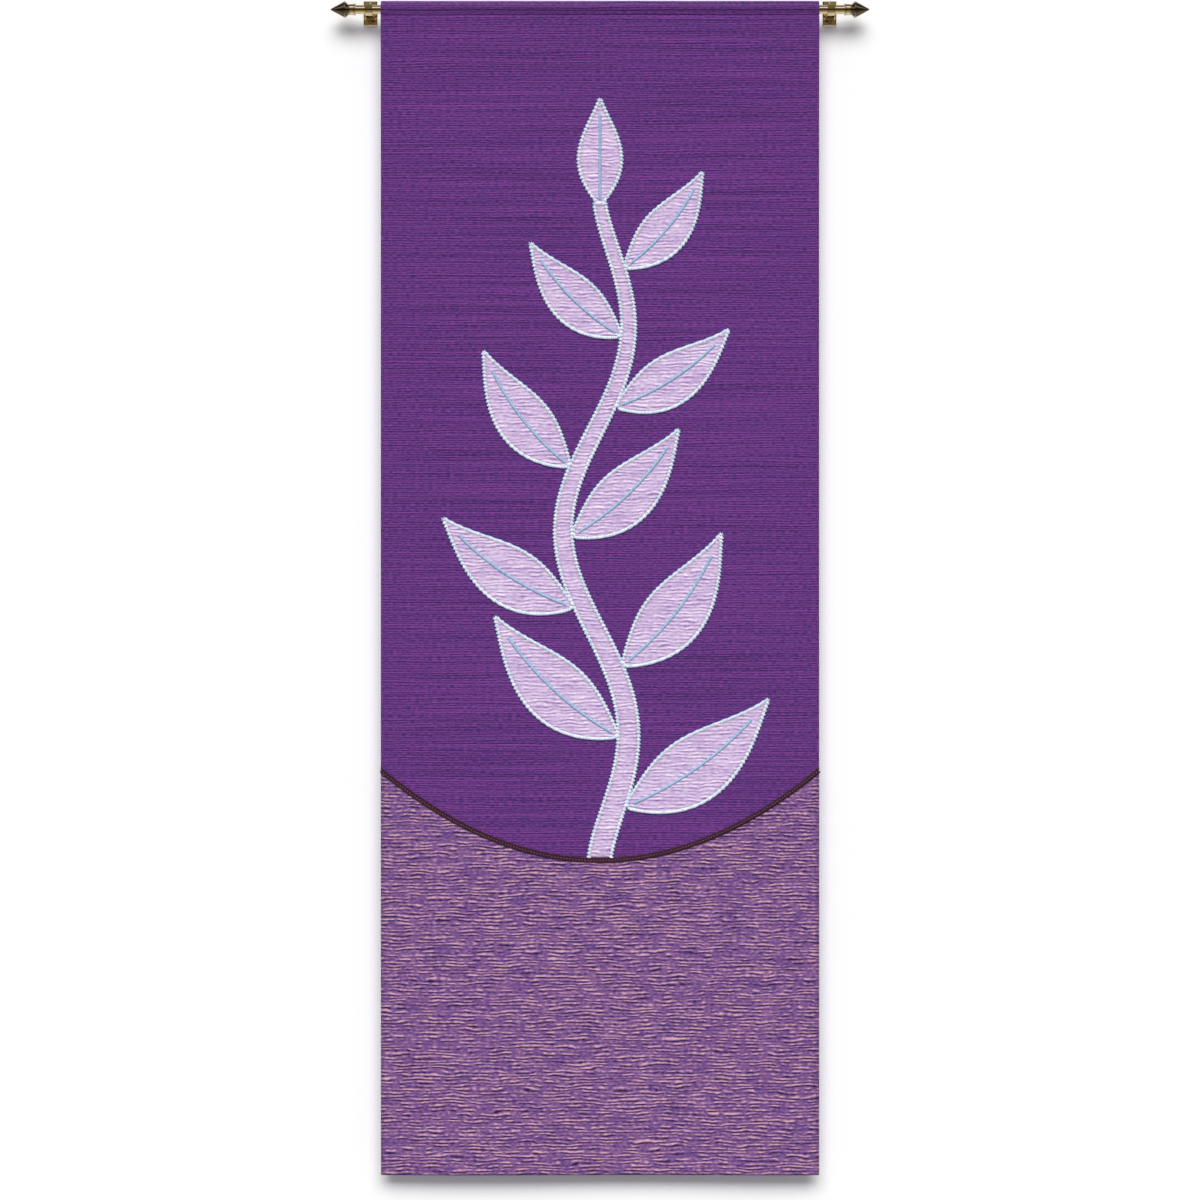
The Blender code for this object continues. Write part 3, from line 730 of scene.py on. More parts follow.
def sewing_yarn(name, crest, edge, roughness):
    """Sewing thread: silky, each bundle a little lighter or darker than the next.

    Where its crest and edge colours differ, the middle of each bundle gets a painted highlight in the crest
    colour, and painted shade in the edge colour lies at both ends, where it dives into the cloth, and in the
    gaps between scallops.
    """
    made, tree, shader = new_material(name)
    across = add(tree, "ShaderNodeAttribute", attribute_name="across", out="Fac")
    shade = add(tree, "ShaderNodeAttribute", attribute_name="shade", out="Fac")
    # Painted highlight along the middle of each bundle, painted shade at its ends.
    off = add(tree, "ShaderNodeMath", (across, 0.5), operation="SUBTRACT")
    off = add(tree, "ShaderNodeMath", (off,), operation="ABSOLUTE")
    share = add(tree, "ShaderNodeMapRange", (off, 0.5, 0.25, 0.15, 1.0))
    # Painted shade by scallop: bundles in a scallop's gaps lean to the edge colour.
    lit = add(tree, "ShaderNodeMapRange", (shade, -0.3, 0.5, 0.3, 1.0))
    share = add(tree, "ShaderNodeMath", (share, lit), operation="MULTIPLY")
    ink = {0: share, 6: (*edge, 1), 7: (*crest, 1)}
    ink = add(tree, "ShaderNodeMix", ink, out=2, data_type="RGBA")
    # Painted shade in the gaps between scallops, with each bundle's own random tone.
    deep = add(tree, "ShaderNodeMapRange", (shade, -0.5, 1.5, 0.86, 1.04))
    ink = add(tree, "ShaderNodeVectorMath", {0: ink, "Scale": deep}, operation="SCALE")
    tree.links.new(ink, shader.inputs["Base Color"])
    shader.inputs["Roughness"].default_value = roughness
    shader.inputs["Sheen Weight"].default_value = 0.15
    shader.inputs["Specular IOR Level"].default_value = 0.4
    return made


def polished_brass(name, tint):
    """Brass, turned or stamped and polished, under clear lacquer.

    It is a mirror that tints what it reflects, with faint polishing marks and slightly duller patches.
    """
    made, tree, shader = new_material(name)
    place = add(tree, "ShaderNodeTexCoord", out="Object")
    patch = add(tree, "ShaderNodeTexNoise", {"Vector": place, "Scale": 1 / DULL_PATCH, "Detail": 3.0})
    dull = add(tree, "ShaderNodeMapRange", (patch, 0.3, 0.7, 0.05, 0.14))
    tree.links.new(dull, shader.inputs["Roughness"])
    fine = add(tree, "ShaderNodeTexNoise", {"Vector": place, "Scale": 1 / POLISH_MARK, "Detail": 2.0})
    marks = {"Strength": 0.03, "Distance": POLISH_DEPTH, "Height": fine}
    tree.links.new(add(tree, "ShaderNodeBump", marks, out="Normal"), shader.inputs["Normal"])
    shader.inputs["Base Color"].default_value = (*tint, 1)
    shader.inputs["Metallic"].default_value = 1.0
    shader.inputs["Coat Weight"].default_value = 0.25
    shader.inputs["Coat Roughness"].default_value = 0.08
    return made


def cloth_layers(x, z):
    """How many layers of the ground cloth lie over each other at a place: hems are folded to the back."""
    return (
        1.0
        + (abs(x) > CLOTH_WIDTH / 2 - SIDE_HEM - HEM_STEP / 2)
        + (z < CLOTH_BOTTOM + BOTTOM_HEM + HEM_STEP / 2)
        + (z > SEAM_Z - SEAM_ALLOWANCE - HEM_STEP / 2)
    )


def seam_crease(height):
    """How deep the seam pulls the front in at some height above or below it."""
    return SEAM_NICK * np.exp(-((height / SEAM_NICK) ** 2))


def front_line(x, pinch, fine_from, step):
    """One column of the front below the seam, from the bottom up, as rows of y, z, run and face."""
    fine = np.arange(SEAM_Z, fine_from, -step)[::-1]
    coarse = np.linspace(CLOTH_BOTTOM + FOOT_ROUND, fine_from - BACK_ROW / 2, COVERED_ROWS)
    z = np.concatenate([coarse, fine])
    sunk = cloth_layers(x, z) * CLOTH_THICK * (1 - pinch) / 2
    y = cloth_front(x, z) + sunk + seam_crease(z - SEAM_Z)
    face = (z > fine_from) * np.clip((SEAM_Z - z) / SEAM_SWELL, 0.15, 1) * pinch
    return np.stack([y, z, z - SEAM_Z, face])


def back_line(x, pinch):
    """One column of the back below the seam, from the top down, with its steps from layer to layer."""
    allowance = SEAM_Z - SEAM_ALLOWANCE
    hem = CLOTH_BOTTOM + BOTTOM_HEM
    middle = np.arange(allowance - HEM_STEP, hem + HEM_STEP, -BACK_ROW)
    z = np.concatenate([[SEAM_Z, allowance], middle, [hem + HEM_STEP, hem, CLOTH_BOTTOM + FOOT_ROUND]])
    y = cloth_front(x, z) + cloth_layers(x, z) * CLOTH_THICK * (1 + pinch) / 2
    return np.stack([y, z, z - SEAM_Z, np.zeros_like(z)])


def foot_line(x, pinch):
    """The rounded fold along the bottom, from back to front."""
    turns = np.linspace(0.15, 0.85, FOOT_TURNS) * math.pi
    half = float(cloth_layers(x, CLOTH_BOTTOM)) * CLOTH_THICK / 2
    y = float(cloth_front(x, CLOTH_BOTTOM)) + half + half * pinch * np.cos(turns)
    z = CLOTH_BOTTOM + FOOT_ROUND * (1 - np.sin(turns))
    return np.stack([y, z, np.full(FOOT_TURNS, CLOTH_BOTTOM - SEAM_Z), np.zeros(FOOT_TURNS)])


def pocket_line(side, pinch):
    """One column of the pocket, up its front, over its ridge and down its back to the seam.

    side is 1 for the cloth's outer face and -1 for its inner one.
    """
    radius = ROD_RADIUS + GAP + CLOTH_THICK / 2 + side * pinch * CLOTH_THICK / 2
    peak_over = CLOTH_TOP / (ROD_RADIUS + GAP + CLOTH_THICK)
    fold = SEAM_FOLD - CLOTH_THICK * (1 - side) / 2
    behind_seam = SEAM_FOLD - CLOTH_THICK * (3 + side) / 2
    ribs = POCKET_RIBS * pinch
    high = math.pi - math.acos(1 / peak_over)
    low = math.asin(fold / radius)
    turns = np.linspace(low, high, POCKET_ARC)
    rise = -radius * math.cos(low) - SEAM_Z
    straight = np.arange(1, POCKET_ROWS) / POCKET_ROWS * rise
    crease = seam_crease(straight) * (1 + side) / 2
    climb = [ROD_Y - fold + crease, SEAM_Z + straight, straight, np.full_like(straight, ribs)]
    run = rise + radius * (turns - low)
    over = [ROD_Y - radius * np.sin(turns), -radius * np.cos(turns), run, np.full_like(turns, ribs)]
    ridge_run = run[-1] + RIDGE_RUN
    ridge = [[ROD_Y], [radius * peak_over], [ridge_run], [RIDGE_RIBS]]
    reach = math.hypot(behind_seam, SEAM_Z)
    low = math.acos(radius / reach) - math.atan2(behind_seam, -SEAM_Z)
    turns = np.linspace(high, low, POCKET_ARC)
    run = ridge_run + radius * (high - turns)
    behind = [ROD_Y + radius * np.sin(turns), -radius * np.cos(turns), run, np.full_like(turns, ribs)]
    return np.concatenate([climb, over, ridge, behind], axis=1)


def ground_ring(x, pinch, sizes):
    """One column of the ground cloth, as an outer and an inner line of rows of y, z, run and face."""
    fine_from = CLOTH_BOTTOM + PANEL_MIDDLE - UNDER_PANEL
    front = front_line(x, pinch, fine_from, sizes.rib_pitch / RIB_ROWS)
    outer = [front, pocket_line(1, pinch), back_line(x, pinch), foot_line(x, pinch)]
    seam = [[ROD_Y - SEAM_FOLD + 1.4 * CLOTH_THICK], [SEAM_Z + GAP], [0.0], [0.0]]
    inner = [seam, pocket_line(-1, pinch)]
    return np.concatenate(outer, axis=1), np.concatenate(inner, axis=1), front.shape[1]


def make_ground(context):
    """The ground cloth, with its rod pocket, hems and ribs."""
    sizes, colours = context.scene.banner_sizes, context.scene.banner_colours
    edge = CLOTH_WIDTH / 2
    inner_edge = edge - SIDE_HEM
    count = round(2 * inner_edge / GROUND_COLUMN)
    middle = np.linspace(-inner_edge + HEM_STEP, inner_edge - HEM_STEP, count)
    columns = [-edge, -edge + EDGE_INSET, -inner_edge, *middle, inner_edge, edge - EDGE_INSET, edge]
    outers, inners = [], []
    for x in columns:
        pinch = EDGE_ROUND if abs(x) > edge - EDGE_INSET / 2 else 1.0
        outer, inner, rows = ground_ring(x, pinch, sizes)
        outers.append(np.vstack([np.full(outer.shape[1], x), outer]))
        inners.append(np.vstack([np.full(inner.shape[1], x), inner]))
    outers = np.stack(outers).transpose(0, 2, 1)
    inners = np.stack(inners).transpose(0, 2, 1)
    stations, n_out = outers.shape[:2]
    n_in = inners.shape[1]
    first_in = stations * n_out
    faces = skin(0, stations, n_out) + skin(first_in, stations, n_in)
    climb = POCKET_ROWS - 1 + POCKET_ARC
    peak = rows + climb
    seam_back = peak + POCKET_ARC + 1
    for station in (0, stations - 1):
        out = [station * n_out + i for i in range(n_out)]
        ins = [first_in + station * n_in + i for i in range(n_in)]
        faces.append([*out[:rows], ins[0], *out[seam_back:]])
        faces.append([*out[rows - 1 : peak + 1], *reversed(ins[: climb + 2])])
        faces.append([*out[peak : seam_back + 1], ins[0], *reversed(ins[climb + 1 :])])
    every = np.concatenate([outers.reshape(-1, 5), inners.reshape(-1, 5)])
    # Painted shade: the cloth's colour is darkened from the pocket's seam upward, over the rod.
    painted_shade = 1 - POCKET_PAINTED_SHADE * smooth(every[:, 3] / POCKET_PAINTED_SHADE_RUN)
    values = {"run": every[:, 3], "face": every[:, 4], "painted_shade": painted_shade}
    mesh = closed_mesh("ground_cloth_woven", every[:, :3], faces, values)
    stops = ((0.0, colours.ground_dark), (0.5, colours.ground), (1.0, colours.ground_light))
    cloth = slub_cloth(
        "purple ribbed rayon, woven", stops, dash=RIB_DASH, drift_size=(300 * MM, 0.9),
        shares=(1.05, 1.3, 0.85, 0.35), roughness=0.8, sheen=0.15,
    )
    obj = grown(
        new_object("ground_cloth_woven", mesh), tree_named("Woven ribs", rib_tree), cloth=cloth,
        pitch=sizes.rib_pitch, height=sizes.rib_height, wander=1.4, wander_length=160 * MM,
        wander_rows=6.0, jitter=0.15, dash_length=RIB_DASH, least=0.5,
    )
    finished(obj, ["ground_cloth"])


def sheet_mesh(name, front, inside, back, thickness):
    """A sheet laid on the ground cloth, rounded off at its rim.

    front and back are grids of (x, z), inside the distance of each front point to the sheet's rim.
    """
    from_rim = np.clip(inside / RIM_ROUND, 0, 1)
    rise = RIM_LEAST + (1 - RIM_LEAST) * np.sqrt(1 - (1 - from_rim) ** 2)
    face_y = cloth_front(front[..., 0], front[..., 1]) - GAP - thickness * rise
    back_y = cloth_front(back[..., 0], back[..., 1]) - GAP
    face = np.stack([front[..., 0], face_y, front[..., 1]], axis=-1)
    rear = np.stack([back[..., 0], back_y, back[..., 1]], axis=-1)[:, ::-1]
    rings = np.concatenate([face, rear], axis=1)
    stations, count = rings.shape[:2]
    ends = [list(range(count)), list(range((stations - 1) * count, stations * count))]
    run = rings[..., 2] - SEAM_Z
    mask = np.zeros((stations, count))
    mask[:, : front.shape[1]] = np.clip(inside / RIM_FLAT, 0, 1)
    # Painted shade: the front's colour darkens towards the sheet's rim, beside the sewing along it.
    painted_shade = np.ones((stations, count))
    painted_shade[:, : front.shape[1]] = 1 - RIM_PAINTED_SHADE * (1 - smooth(inside / RIM_PAINTED_SHADE_WIDTH))
    values = {"run": run, "face": mask, "painted_shade": painted_shade}
    return closed_mesh(name, rings.reshape(-1, 3), skin(0, stations, count) + ends, values)


def make_panel(context):
    """The slub cloth panel over the lower third."""
    sizes, colours = context.scene.banner_sizes, context.scene.banner_colours
    half = CLOTH_WIDTH / 2
    inner = np.linspace(-half + RIM_ROUND, half - RIM_ROUND, round(CLOTH_WIDTH / PANEL_COLUMN))
    columns = np.concatenate([[-half], inner, [half]])
    heights = panel_edge(columns) - CLOTH_BOTTOM
    rows = np.concatenate([[0], np.linspace(PANEL_RIM_ROW, 1 - PANEL_RIM_ROW, PANEL_ROWS), [1]])
    lift = heights[:, None] * rows[None, :]
    front = np.stack(np.broadcast_arrays(columns[:, None], CLOTH_BOTTOM + lift), axis=-1)
    inside = np.minimum(np.minimum(lift, heights[:, None] - lift), (half - np.abs(columns))[:, None])
    few = np.linspace(0, 1, PANEL_BACK_ROWS)
    back = np.stack(np.broadcast_arrays(columns[:, None], CLOTH_BOTTOM + heights[:, None] * few), axis=-1)
    mesh = sheet_mesh("lower_panel_woven", front, inside, back, PANEL_THICK)
    stops = (
        (0.08, colours.panel_dark),
        (0.34, colours.panel_violet),
        (0.6, colours.panel),
        (1.0, colours.panel_light),
    )
    cloth = slub_cloth(
        "mauve slub silk, woven", stops, dash=SLUB_DASH, drift_size=(40 * MM, 3.0),
        shares=(1.1, 0.55, 0.45, 0.12), roughness=0.65, sheen=0.15,
    )
    obj = grown(
        new_object("lower_panel_woven", mesh), tree_named("Woven ribs", rib_tree), cloth=cloth,
        pitch=sizes.slub_pitch, height=sizes.slub_height, wander=1.4, wander_length=60 * MM,
        wander_rows=4.5, jitter=0.6, dash_length=SLUB_DASH, least=0.15,
    )
    finished(obj, ["lower_panel"])


def make_patches(context):
    """The stem, leaves and bud."""
    sizes, colours = context.scene.banner_sizes, context.scene.banner_colours
    stops = ((0.0, colours.patch_dark), (0.5, colours.patch), (0.95, colours.patch_light))
    cloth = slub_cloth(
        "lilac slub silk, woven", stops, dash=SLUB_DASH, drift_size=(40 * MM, 3.0),
        shares=(0.8, 0.5, 0.3, 0.2), roughness=0.6, sheen=0.1,
    )
    for name, flat, centres, halves in patch_spines():
        widest = 2 * np.linalg.norm(halves, axis=1).max()
        across = np.linspace(-1, 1, math.ceil(widest / PATCH_GRID) + 1)
        front = centres[:, None] + halves[:, None] * across[None, :, None]
        back = centres[:, None] + halves[:, None] * np.array([-1, 0, 1])[None, :, None]
        to_side = (1 - np.abs(across))[None, :] * np.linalg.norm(halves, axis=1)[:, None]
        travel = np.concatenate([[0], np.cumsum(np.linalg.norm(np.diff(centres, axis=0), axis=1))])
        to_end = np.minimum(travel, travel[-1] - travel)[:, None]
        mesh = sheet_mesh(f"{name}_woven", front, np.minimum(to_side, to_end), back, PATCH_THICK)
        obj = grown(
            new_object(f"{name}_woven", mesh), tree_named("Woven ribs", rib_tree), cloth=cloth,
            pitch=sizes.slub_pitch, height=0.8 * sizes.slub_height, wander=1.2, wander_length=50 * MM,
            wander_rows=4.5, jitter=0.6, dash_length=SLUB_DASH, least=0.2,
        )
        finished(obj, [name])


def path_object(name, lines):
    """A mesh of paths for sewing to follow; lines are (points, whether it closes)."""
    points, edges = [], []
    for line, closes in lines:
        first = len(points)
        points.extend(map(tuple, line))
        edges.extend((first + i, first + i + 1) for i in range(len(line) - 1))
        if closes:
            edges.append((len(points) - 1, first))
    mesh = bpy.data.meshes.new(name)
    mesh.from_pydata(points, edges, [])
    return new_object(name, mesh)


def on_cloth(flat, lift=0.0):
    """Points (x, z) set on the ground cloth's front, lifted off it by some height."""
    flat = np.asarray(flat)
    return np.stack([flat[:, 0], cloth_front(flat[:, 0], flat[:, 1]) - lift, flat[:, 1]], axis=-1)


def sewn(name, lines, material, **values):
    """A line of sewing along paths, as one piece."""
    tree = tree_named("Sewn threads", sewing_tree)
    return finished(grown(path_object(name, lines), tree, yarn=material, **values))


def make_outlines(context):
    """The raised stitching round each shape, and the leaves' stitched midribs."""
    sizes, colours = context.scene.banner_sizes, context.scene.banner_colours
    pale, light = "pale blue rayon thread, satin stitched", "light blue rayon thread, satin stitched"
    # Crest colours are partly painted highlight, edge colours partly painted shade.
    white = sewing_yarn(pale, colours.outline, colours.outline_edge_and_shade, 0.42)
    blue = sewing_yarn(light, colours.cord, colours.cord_edge_and_shade, 0.4)
    for name, _, centres, halves in patch_spines():
        loop = np.concatenate([centres - halves, (centres + halves)[::-1]])
        sewn(
            f"{name}_outline", [(on_cloth(loop), name != "vine_stem")], white,
            width=sizes.outline_width, spacing=1.1 * MM, thread=sizes.outline_thread,
            start_height=-0.2 * MM, crown=3.6 * MM, end_height=1.1 * MM, slant=0.15,
            scallop=0.32, scallop_pitch=sizes.scallop_pitch, scallop_shade=0.5,
        )
        if name == "vine_stem":
            continue
        first, last = int(MIDRIB_FROM * len(centres)), int(MIDRIB_TO * len(centres))
        sewn(
            f"{name}_midrib", [(on_cloth(centres[first:last], GAP + PATCH_THICK), False)], blue,
            width=sizes.cord_width, spacing=1.2 * MM, thread=1.15 * MM,
            start_height=-0.1 * MM, crown=2.8 * MM, end_height=-0.1 * MM, slant=0.5,
        )


def make_braid(context):
    """The braid over the panel's raw edge: a dark tape with two plaited ridges and a dotted groove."""
    colours = context.scene.banner_colours
    columns = np.linspace(-CLOTH_WIDTH / 2, CLOTH_WIDTH / 2, round(CLOTH_WIDTH / BRAID_STEP))
    half = BRAID_WIDTH / 2
    low = 2 * GAP + PANEL_THICK
    top = low + 0.5 * BRAID_THICK
    profile = np.array([(half, GAP), (GAP, GAP), (GAP, low), (-half, low), (-half, top), (half, top)])
    stretch = np.hypot(1, panel_slope(columns))[:, None]
    edge = panel_edge(columns)[:, None]
    up = edge + profile[None, :, 0] * stretch
    out = cloth_front(columns[:, None], edge) - profile[None, :, 1]
    rings = np.stack(np.broadcast_arrays(columns[:, None], out, up), axis=-1)
    count = len(profile)
    ends = [list(range(count)), list(range((len(columns) - 1) * count, len(columns) * count))]
    mesh = closed_mesh("braid_tape", rings.reshape(-1, 3), skin(0, len(columns), count) + ends)
    yarn = sewing_yarn("maroon cotton braid, plaited", colours.braid, colours.braid, 0.6)
    dots = sewing_yarn("rose cotton thread, tacked", colours.braid_dot, colours.braid_dot, 0.6)
    finished(new_object("braid_tape", mesh, yarn), ["panel_braid"])
    columns = np.linspace(-CLOTH_WIDTH / 2 + MM, CLOTH_WIDTH / 2 - MM, len(columns))
    line = on_cloth(np.stack([columns, panel_edge(columns)], axis=-1), top)
    for name, side in (("braid_ridge_upper", 1), ("braid_ridge_lower", -1)):
        obj = sewn(
            name, [(line, False)], yarn, width=3.4 * MM, spacing=1.5 * MM, thread=1.3 * MM,
            start_height=-0.5 * MM, crown=1.5 * MM, end_height=-0.5 * MM, slant=0.6 * side,
            offset=1.7 * MM * side,
        )
    obj = sewn(
        "braid_dots", [(line, False)], dots, width=1.5 * MM, spacing=4.1 * MM, thread=1.1 * MM,
        start_height=-0.3 * MM, crown=0.9 * MM, end_height=-0.3 * MM, slant=math.pi / 2,
    )


def make_seams(context):
    """The stitches that hold the pocket, the hems and the panel's edges."""
    colours = context.scene.banner_colours
    # These threads take the groove colour at their ends as painted shade, where they dive into the cloth.
    purple = sewing_yarn("purple polyester thread, machine sewn", colours.ground, colours.ground_dark, 0.5)
    mauve = sewing_yarn("mauve polyester thread, machine sewn", colours.panel, colours.panel_dark, 0.5)
    stitch = {
        "width": 2.7 * MM, "spacing": 3.2 * MM, "thread": 0.5 * MM, "slant": math.pi / 2,
        "start_height": -0.3 * MM, "crown": 0.5 * MM, "end_height": -0.3 * MM,
    }
    half = CLOTH_WIDTH / 2
    along = np.linspace(-half + STITCH_MARGIN, half - STITCH_MARGIN, 150)
    in_crease = cloth_front(along, SEAM_Z) + 0.7 * SEAM_NICK
    seam = np.stack([along, in_crease, np.full_like(along, SEAM_Z)], axis=-1)
    sewn("pocket_seam", [(seam, False)], purple, **stitch)
    hem_x = half - SIDE_HEM + STITCH_MARGIN
    hem_z = CLOTH_BOTTOM + BOTTOM_HEM - STITCH_MARGIN
    drop = np.linspace(SEAM_Z - SEAM_ALLOWANCE - STITCH_MARGIN, hem_z, 200)
    inner = np.linspace(-hem_x, hem_x, 120)
    allowance = SEAM_Z - SEAM_ALLOWANCE + STITCH_MARGIN
    behind = []
    for flat in (
        np.stack([np.full_like(drop, -hem_x), drop], axis=-1),
        np.stack([np.full_like(drop, hem_x), drop], axis=-1),
        np.stack([inner, np.full_like(inner, hem_z)], axis=-1),
        np.stack([inner, np.full_like(inner, allowance)], axis=-1),
    ):
        rear = cloth_front(flat[:, 0], flat[:, 1]) + 2 * CLOTH_THICK
        behind.append((np.stack([flat[:, 0], rear, flat[:, 1]], axis=-1), False))
    sewn("hem_stitches", behind, purple, up=(0, 1, 0), **stitch)
    side = half - PANEL_MARGIN
    foot = CLOTH_BOTTOM + PANEL_MARGIN
    rise = np.linspace(foot, panel_edge(side) - PANEL_TOP_MARGIN, 120)
    between = np.linspace(-side, side, 120)[1:-1]
    flat = np.concatenate([
        np.stack([np.full_like(rise, -side), rise[::-1]], axis=-1),
        np.stack([between, np.full_like(between, foot)], axis=-1),
        np.stack([np.full_like(rise, side), rise], axis=-1),
    ])
    lift = GAP + PANEL_THICK + 0.2 * MM
    obj = sewn("panel_edge_stitches", [(on_cloth(flat, lift), False)], mauve, **stitch)


def turned(name, profile, place, axis, material, round_off=0.0):
    """A turned body: profile is (radius, height) pairs from one end to the other."""
    bm = bmesh.new()
    points = [bm.verts.new((radius, 0, height)) for radius, height in profile]
    line = points + [bm.edges.new(pair) for pair in zip(points, points[1:])]
    bmesh.ops.spin(bm, geom=line, axis=(0, 0, 1), cent=(0, 0, 0), angle=math.tau, steps=TURNING_STEPS)
    bmesh.ops.remove_doubles(bm, verts=bm.verts, dist=0.005 * MM)
    bmesh.ops.recalc_face_normals(bm, faces=bm.faces)
    if round_off:
        sharp = math.radians(SPEAR_BEVEL_FROM)
        corners = [e for e in bm.edges if e.is_manifold and e.calc_face_angle(0) > sharp]
        bmesh.ops.bevel(bm, geom=corners, offset=round_off, segments=2, affect="EDGES", profile=0.5)
    turn = Vector((0, 0, 1)).rotation_difference(Vector(axis)).to_matrix().to_4x4()
    bmesh.ops.transform(bm, matrix=turn, verts=bm.verts)
    bmesh.ops.translate(bm, vec=place, verts=bm.verts)
    return from_bmesh(name, bm, material)


def from_bmesh(name, bm, material):
    """Turns a bmesh into a smooth object in the scene."""
    bmesh.ops.recalc_face_normals(bm, faces=bm.faces)
    mesh = bpy.data.meshes.new(name)
    bm.to_mesh(mesh)
    bm.free()
    mesh.shade_smooth()
    mesh.set_sharp_from_angle(angle=math.radians(METAL_CREASE))
    return new_object(name, mesh, material)


def brass(context):
    """The brass that all the metal shares."""
    return bpy.data.materials.get(BRASS) or polished_brass(BRASS, context.scene.banner_colours.brass)


def make_rod(context):
    """The rod and its two turned spears."""
    metal = brass(context)
    inner, shoulder = ROD_RADIUS - ROD_CHAMFER, ROD_HALF - ROD_CHAMFER
    half = ((ROD_RADIUS, shoulder), (inner, ROD_HALF), (0, ROD_HALF))
    profile = (*((radius, -height) for radius, height in reversed(half)), *half)
    finished(turned("rod_polished", profile, (0, ROD_Y, 0), (1, 0, 0), metal), ["rod"])
    bore = ROD_RADIUS + GAP
    profile = ((0, SOCKET_DEPTH), (bore, SOCKET_DEPTH), (bore, 0), *SPEAR)
    start = ROD_HALF - SOCKET_DEPTH + GAP
    for side, name in ((-1, "finial_left"), (1, "finial_right")):
        place = (side * start, ROD_Y, 0)
        spear = turned(f"{name}_turned", profile, place, (side, 0, 0), metal, SPEAR_BEVEL)
        finished(spear, [name])


def make_hook(name, x, metal):
    """The hook that cradles the rod, on its foot."""
    inner = ROD_RADIUS + GAP
    outer = inner + HOOK_THICK
    root = -ROD_Y - PLATE_THICK - GAP
    turns = np.linspace(0, math.pi / 2, 28)
    below = [(-outer * math.sin(a), -outer * math.cos(a)) for a in turns]
    above = [(-inner * math.sin(a), -inner * math.cos(a)) for a in turns[::-1]]
    tip = [(-outer, HOOK_LIP - HOOK_CORNER), (-outer + HOOK_CORNER, HOOK_LIP)]
    tip += [(-inner - HOOK_CORNER, HOOK_LIP), (-inner, HOOK_LIP - HOOK_CORNER)]
    outline = [(root, -outer), *below, *tip, *above, (root, -inner)]
    bm = bmesh.new()
    side = bm.faces.new([bm.verts.new((x - HOOK_WIDTH / 2, ROD_Y + y, z)) for y, z in outline])
    grown_side = bmesh.ops.extrude_face_region(bm, geom=[side])
    moved = [v for v in grown_side["geom"] if isinstance(v, bmesh.types.BMVert)]
    bmesh.ops.translate(bm, verts=moved, vec=(HOOK_WIDTH, 0, 0))
    rims = [e for e in bm.edges if e.calc_face_angle(0) > math.radians(HOOK_BEVEL_FROM)]
    bmesh.ops.bevel(bm, geom=rims, offset=HOOK_BEVEL, segments=3, affect="EDGES", profile=0.5)
    wide, deep, tall = FOOT_SIZE
    cube = bmesh.ops.create_cube(bm, size=1)["verts"]
    bmesh.ops.scale(bm, vec=(wide, deep, tall), verts=cube)
    middle = -PLATE_THICK - GAP - deep / 2
    bmesh.ops.translate(bm, vec=(x, middle, -FOOT_DROP), verts=cube)
    front = {e for v in cube for e in v.link_edges if all(w.co.y < middle for w in e.verts)}
    bmesh.ops.bevel(bm, geom=list(front), offset=FOOT_BEVEL, segments=3, affect="EDGES", profile=0.5)
    return from_bmesh(name, bm, metal)


def make_screw(name, x, z, metal):
    """A domed, slotted screw."""
    under = PLATE_THICK + GAP
    turns = np.linspace(0, math.pi / 2, 9)
    dome = SCREW_DOME - SCREW_RIM
    profile = [(0, 0), (SCREW_SHANK, 0), (SCREW_SHANK, under), (SCREW_HEAD, under)]
    profile += [(SCREW_HEAD * math.cos(a), under + SCREW_RIM + dome * math.sin(a)) for a in turns[:-1]]
    profile += [(0, under + SCREW_DOME)]
    screw = turned(name, profile, (x, 0, z), (0, -1, 0), metal)
    slot = bmesh.new()
    cube = bmesh.ops.create_cube(slot, size=1)["verts"]
    bmesh.ops.scale(slot, vec=(3 * SCREW_HEAD, 2 * SLOT_DEPTH, SLOT_WIDTH), verts=cube)
    slant = Vector((1, 0, 0)).rotation_difference(Vector(SLOT_SLANT)).to_matrix()
    bmesh.ops.rotate(slot, verts=cube, matrix=slant)
    bmesh.ops.translate(slot, vec=(x, -under - SCREW_DOME, z), verts=cube)
    cutter = from_bmesh(f"{name}_cutter", slot, metal)
    cut = screw.modifiers.new("slot", "BOOLEAN")
    cut.operation = "DIFFERENCE"
    cut.object = cutter
    depsgraph = bpy.context.evaluated_depsgraph_get()
    screw.data = bpy.data.meshes.new_from_object(screw.evaluated_get(depsgraph))
    screw.modifiers.clear()
    bpy.data.objects.remove(cutter, do_unlink=True)
    return screw


def make_plate(name, x, metal):
    """A stamped plate with a bevelled rim and a face that is gently crowned from top to bottom."""
    wide, tall = PLATE_HIGH.x - PLATE_LOW.x, PLATE_HIGH.z - PLATE_LOW.z
    bm = bmesh.new()
    cube = bmesh.ops.create_cube(bm, size=1)["verts"]
    bmesh.ops.scale(bm, vec=(wide, PLATE_THICK, tall), verts=cube)
    bmesh.ops.translate(bm, vec=(x, -PLATE_THICK / 2, 0), verts=cube)
    rim = [e for e in bm.edges if all(v.co.y < -PLATE_THICK / 2 for v in e.verts)]
    bmesh.ops.bevel(bm, geom=rim, offset=PLATE_BEVEL, segments=1, affect="EDGES", profile=0.5)
    for i in range(1, PLATE_ROWS):
        cut = tall / 2 - tall * i / PLATE_ROWS
        bmesh.ops.bisect_plane(
            bm, geom=[*bm.verts, *bm.edges, *bm.faces], plane_co=(0, 0, cut), plane_no=(0, 0, 1)
        )
    for v in bm.verts:
        if v.co.y < -PLATE_THICK / 2:
            v.co.y += PLATE_CROWN * (2 * v.co.z / tall) ** 2
    return from_bmesh(name, bm, metal)


